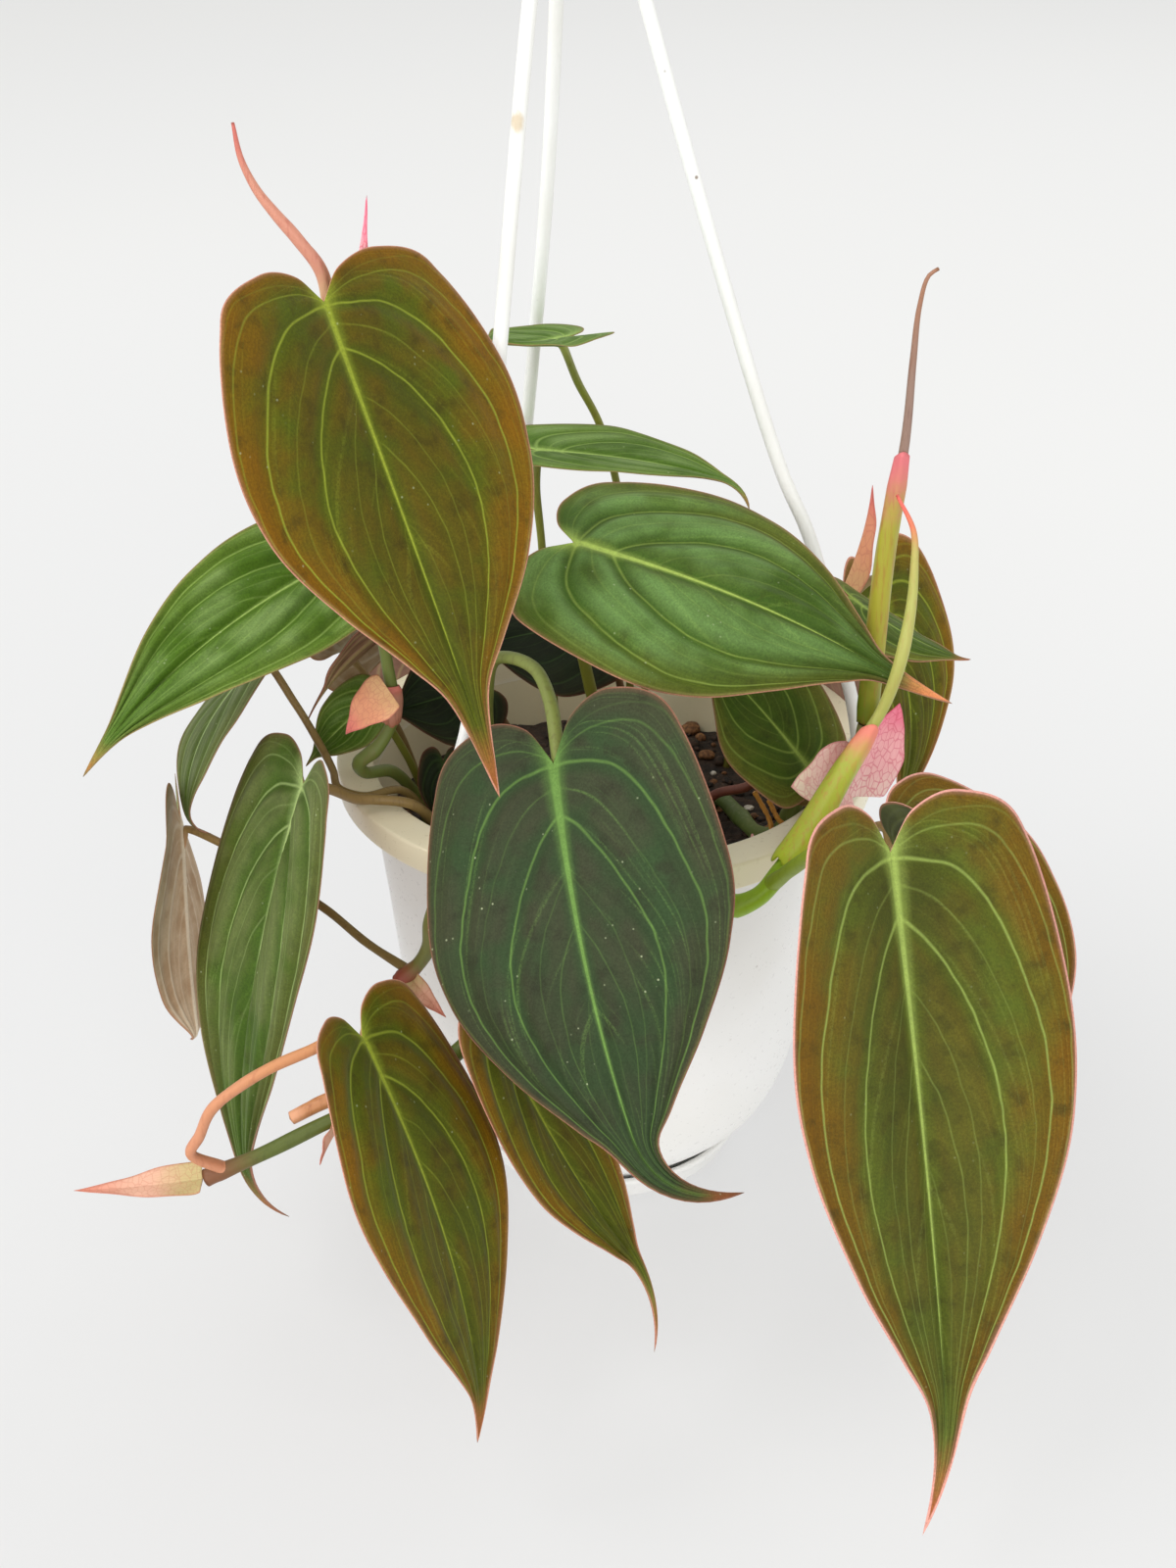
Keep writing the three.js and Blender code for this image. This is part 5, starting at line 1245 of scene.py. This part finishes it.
# %% Bract finish and bracts
def bract_finish(name, foot, middle, tip, vein, net):
    """Three pinks from foot to tip, a net of veins, long lines and a darker edge."""
    f = Finish(name)
    v, _, y = f.attribute("place")
    half = f.attribute("spread")[0]
    cloud, nap = f.noise(5, detail=3.0), f.noise(0.5, detail=2.0)
    outward = y + (cloud - 0.5) * 0.3
    colour = f.mix(f.step(outward, 0.05, 0.45), foot, middle)
    colour = f.mix(f.step(outward, 0.5, 0.95), colour, tip)
    mesh_lines = f.step(f.cells(1.5, "DISTANCE_TO_EDGE", f.here(stretch=(1, 1, 0.5))), 0.1, 0.0)
    colour = f.mix(mesh_lines * net, colour, vein)
    long_lines = f.step((abs(v) * 7).math("PINGPONG", 0.5) * 2, 0.2, 0.0)
    colour = f.mix(long_lines * 0.25, colour, vein)
    colour = f.mix(f.step((1 - abs(v)) * half, 0.6, 0.1) * 0.5, colour, vein)
    height = nap * 0.4 + mesh_lines * 0.5 + long_lines * 0.3
    return f.surface(Base_Color=colour, Roughness=nap * 0.15 + 0.45, Normal=f.bump(height, 0.3, 0.25),
                     Specular_IOR_Level=0.4)


BRACT_FINISH = {
    "cream": bract_finish("bract_cream_pink", (254, 214, 204), (254, 212, 200), (252, 230, 206),
                          (226, 124, 126), 0.5),
    "pink": bract_finish("bract_pink", (254, 214, 204), (254, 186, 188), (246, 126, 152),
                         (224, 80, 110), 0.6),
    "salmon": bract_finish("bract_salmon", (206, 160, 112), (220, 150, 112), (222, 118, 108),
                           (176, 82, 76), 0.3),
    "tan": bract_finish("bract_tan", (190, 172, 118), (222, 172, 146), (220, 140, 118),
                        (180, 100, 76), 0.3),
}
BRACT_ROWS, BRACT_COLUMNS, BRACT_THICK, BRACT_RIB = 44, 12, 0.32, 0.15
BRACT_DEFAULTS = {**LEAF_DEFAULTS, "plan": LANCE, "lobe": 0, "arch": 0, "pleat": 0, "wave": 0.35}
# Each row: the name, the finish, the tip, and the form. A bract has its own foot or starts on a stem.
BRACTS = [
    ("bract_trailing_tip", "tan", (-125, -102, 62),
     dict(base=(-94.9, -101.1, 64.2), width=9, tail=0.2, wide=0.12, roll=-25, fold=20, droop=-14)),
    ("bract_trailing_low", "tan", (-67, -103.5, 70),
     dict(start=("stem_trailing", 0.79), width=6, roll=60, fold=30)),
    ("bract_front_left", "tan", (-39.5, -67, 85),
     dict(start=("stem_front_left", 0.965), width=6, roll=60, fold=35)),
    ("bract_left_flap", "salmon", (-62.5, -38, 147.5),
     dict(base=(-51.4, -35.7, 157.4), width=13, roll=-30, fold=8, droop=38)),
    ("bract_left_top", "pink", (-49, -42, 275),
     dict(start=("stem_left_shoot", 0.985), width=5, roll=180, fold=45)),
    ("bract_right_left_wing", "cream", (43, -54.5, 141),
     dict(base=(57.4, -42.3, 137.5), width=18, tail=0.1, wide=0.35, roll=-70, fold=14, droop=22)),
    ("bract_right_right_wing", "pink", (68.5, -46.5, 158.5),
     dict(base=(60.2, -43.4, 132), width=18, tail=0.1, wide=0.35, roll=140, fold=10, droop=-12)),
    ("bract_right_back", "salmon", (67, 6, 193), dict(base=(60.7, 4.2, 165), width=10, roll=180, fold=34)),
    ("bract_right_low", "cream", (38, -41, 106.5),
     dict(start=("stem_right_rear", 0.46), width=5, fold=30, droop=20)),
]

for name, look, tip, form in BRACTS:
    bract = {**BRACT_DEFAULTS, "tip": tip, **form}
    if "start" in bract:
        bract["base"] = start_on_stem(*bract["start"], tip)
    shape = Shape()
    grow_blade(shape, bract, BRACT_ROWS, BRACT_COLUMNS, BRACT_THICK, BRACT_RIB, under_kind=0)
    shape.dress(name, [BRACT_FINISH[look]], "pink_bract")
print(len(BRACTS), "bracts")

# %% [markdown]
# ## Sheaths
# A sheath is a rolled bract that still wraps a stem: a thin-walled sleeve, open at both ends, with a
# slanted upper rim and a torn foot. A solidified tube would have a wall of one thickness. Here the
# outer and the inner wall are two nets joined at their rims, so the rim can be thin.

# %% Sheath finish and sheaths
def sheath_finish(name, foot, middle, top, streak, gloss=0.36, streaks=0.5):
    """Smooth rolled skin with long streaks, in three colours from foot to top."""
    f = Finish(name)
    share = f.attribute("run")[0]
    lines = f.noise(0.9, f.here(stretch=(1, 1, 0.12)), detail=3.0)
    cloud = f.noise(6, detail=2.0) - 0.5
    colour = f.mix(f.step(share + cloud * 0.3, 0.0, 0.35), foot, middle)
    colour = f.mix(f.step(lines, 0.48, 0.72) * streaks, colour, streak)
    colour = f.mix(f.step(share + cloud * 0.2, 0.72, 0.98), colour, top)
    return f.surface(Base_Color=colour, Roughness=lines * 0.12 + gloss, Normal=f.bump(lines, 0.4, 0.3),
                     Specular_IOR_Level=0.42)


SHEATH_ROWS, SHEATH_SIDES = 60, 40
RIM_THINNER, RIM_SHARE, FOOT_THINNER, FOOT_SHARE, TORN_SHARE = 0.45, 0.1, 0.35, 0.06, 0.12
SHEATHS = {
    "sheath_right_front": dict(
        outer=(3.9, 2.4), inner=(3.1, 1.9), slant=2.5, torn=0.9, slot="green_stem",
        points=[(40.5, -71.7, 130), (44, -70.1, 135), (48.5, -67.8, 142), (54, -64.5, 151),
                (59, -61.5, 158.5)],
        look=("sheath_yellow_green", (188, 206, 56), (176, 184, 60), (236, 132, 112), (196, 130, 70))),
    "sheath_right_rear": dict(
        outer=(2.7, 2.1), inner=(2.0, 1.45), slant=2, torn=0.3, slot="green_stem",
        points=[(62, -40, 150.6), (63, -40, 175), (64, -40, 196), (66, -40, 216)],
        look=("sheath_striped", (120, 140, 34), (166, 160, 50), (214, 112, 116), (164, 92, 52))),
    "sheath_left": dict(
        outer=(2.4, 2.8), inner=(1.85, 2.1), slant=0.8, torn=0.4, slot="pink_bract",
        points=[(-52.6, -28, 145.5), (-52, -28, 150), (-52.2, -28.2, 155.5)],
        look=("sheath_brown_pink", (170, 110, 84), (192, 134, 112), (214, 120, 104), (120, 66, 50))),
}


def grow_sheath(sheath):
    """A sleeve of two walls that are joined at the slanted rim and at the torn foot."""
    shape, rows, sides = Shape(), SHEATH_ROWS, SHEATH_SIDES
    line, turn = along(sheath["points"], np.linspace(0, 1, rows)), circle(sides)
    tangents, out = frames(line, turn)
    share = np.linspace(0, 1, rows)[:, None]
    ragged = sheath["torn"] * (np.sin(3 * turn + 1) + 0.6 * np.sin(7 * turn) + 0.4 * np.sin(13 * turn + 2))
    shift = sheath["slant"] * share**2 * np.cos(turn) - ragged * np.clip(1 - share / TORN_SHARE, 0, 1) * 0.8
    measures = table(share, turn / (2 * np.pi), share * 30).reshape(-1, 3)
    for wall in ("outer", "inner"):
        foot, top = sheath[wall]
        radius = (foot + (top - foot) * share) * np.ones(sides)
        if wall == "outer":
            radius = radius - RIM_THINNER * np.clip((share - 1 + RIM_SHARE) / RIM_SHARE, 0, 1)
            radius = radius - FOOT_THINNER * np.clip((FOOT_SHARE - share) / FOOT_SHARE, 0, 1)
            radius = radius + 0.12 * np.sin(5 * turn + 9 * share) * share
        points = line[:, None] + out * radius[..., None] + tangents[:, None] * shift[..., None]
        faces = sheet_faces(rows - 1, sides, closed=True, flip=wall == "outer")
        shape.add(points.reshape(-1, 3), faces, run=measures)
    inner = rows * sides
    for row in (0, rows - 1):
        for j in range(sides):
            a, b = row * sides + j, row * sides + (j + 1) % sides
            face = (a, b, b + inner, a + inner)
            shape.faces.append(face[::-1] if row else face)
            shape.kinds.append(0)
    return shape


for name, sheath in SHEATHS.items():
    grow_sheath(sheath).dress(name, [sheath_finish(*sheath["look"])], sheath["slot"])
print(len(SHEATHS), "sheaths")

# %% [markdown]
# ## Rolled new leaves, a cut petiole and air roots
# New leaves come out rolled like an umbrella: a spindle with one seam that winds round it. The seam is a
# narrow groove in the tube's section. The air roots are thin, knobbly tubes in orange-tan.

# %% New growth
SHOOTS = {
    "shoot_right_slim": dict(
        radius=(1.15, 1.5, 0.35), seam=0.16, streaks=0.3,
        look=("shoot_pale", (158, 170, 76), (176, 176, 92), (232, 106, 92), (176, 128, 80)),
        points=[(52.5, -65.4, 148.5), (56, -63.3, 154), (59, -61.5, 158.5), (62, -61, 164), (65, -61.5, 175),
                (67, -59.5, 187), (67.5, -57.5, 197), (67, -56, 205), (63, -55, 213)]),
    "new_leaf_right": dict(
        radius=(1.35, 1.3, 0.4), seam=0.22, streaks=0.5,
        look=("new_leaf_striped", (150, 124, 96), (146, 118, 104), (156, 110, 84), (112, 78, 64)),
        points=[(62.3, -40, 154), (64, -40, 196), (66.5, -40, 220), (67, -40, 238), (67.5, -40, 250),
                (69, -40, 256.5), (71, -40, 258)]),
    "new_leaf_left": dict(
        radius=(1.5, 1.3, 0.35), seam=0.22, streaks=0.5,
        look=("new_leaf_pink", (200, 166, 120), (206, 140, 116), (196, 104, 92), (176, 92, 78)),
        points=[(-57.1, -51.1, 249.5), (-58.5, -50, 261), (-63, -50, 268), (-67, -50, 273),
                (-70.5, -50, 278), (-73, -50, 284), (-74, -50, 291)]),
    "petiole_stub": dict(
        radius=(1.9, 1.8, 1.6), seam=0.05, streaks=0.5,
        look=("petiole_stub_tan", (150, 128, 64), (196, 134, 86), (222, 160, 120), (150, 84, 52)),
        points=[(-55.5, -90.4, 82.5), (-66, -93, 80.3), (-74, -95, 77)]),
}
SHOOT_ROWS, SHOOT_SIDES, WINDING = 90, 36, 5


def rolled(deep):
    """The section of a rolled leaf: a groove that winds round it, with a low lip beside it."""
    def section(share, turn_by):
        wound = (turn_by - WINDING * share + np.pi) % (2 * np.pi) - np.pi
        lip = 0.3 * deep * np.exp(-(((wound - 0.5) / 0.35) ** 2))
        return 1 - deep * np.exp(-((wound / 0.22) ** 2)) + lip
    return section


for name, shoot in SHOOTS.items():
    shares = np.linspace(0, 1, SHOOT_ROWS)
    thick = np.interp(shares, [0, 0.5, 1], shoot["radius"])
    shape = tube(Shape(), along(shoot["points"], shares), thick, SHOOT_SIDES, seam=rolled(shoot["seam"]))
    shape.dress(name, [sheath_finish(*shoot["look"], streaks=shoot["streaks"])], "pink_bract")

ROOTS = {
    "air_root_low": [(37, -29, 125.6), (40.8, -31.6, 118.8), (41.8, -34, 114.8), (46, -36.6, 112.8)],
    "air_root_high": [(40, -35, 126.6), (42.5, -37, 122), (45.2, -36.1, 119.3)],
}
ROOT_RADIUS, ROOT_ROWS, ROOT_SIDES, ROOT_GLOSS = 0.62, 60, 14, 0.5
root_tan = sheath_finish("air_root_tan", (206, 146, 56), (202, 142, 62), (150, 96, 44), (150, 90, 40),
                         ROOT_GLOSS)
for name, points in ROOTS.items():
    shares = np.linspace(0, 1, ROOT_ROWS)
    thick = ROOT_RADIUS * (1 + 0.14 * np.sin(shares * 47) * np.sin(shares * 19 + 1))
    tube(Shape(), along(points, shares), thick, ROOT_SIDES).dress(name, [root_tan], "air_root")
print(len(SHOOTS), "shoots and", len(ROOTS), "air roots")

# %% [markdown]
# ## Size
# The dressed plant is meant to fill the same box as the solids. Both boxes are measured and compared.

# %% Measure the sizes
seen_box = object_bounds()
sizes = {"cad": [list(corner) for corner in cad_box], "visual": [list(corner) for corner in seen_box]}
for which, solids, dressed in zip(("lowest", "highest"), sizes["cad"], sizes["visual"]):
    print(which, "corner moves by", [round((b - a) / MM, 1) for a, b in zip(solids, dressed)], "mm")
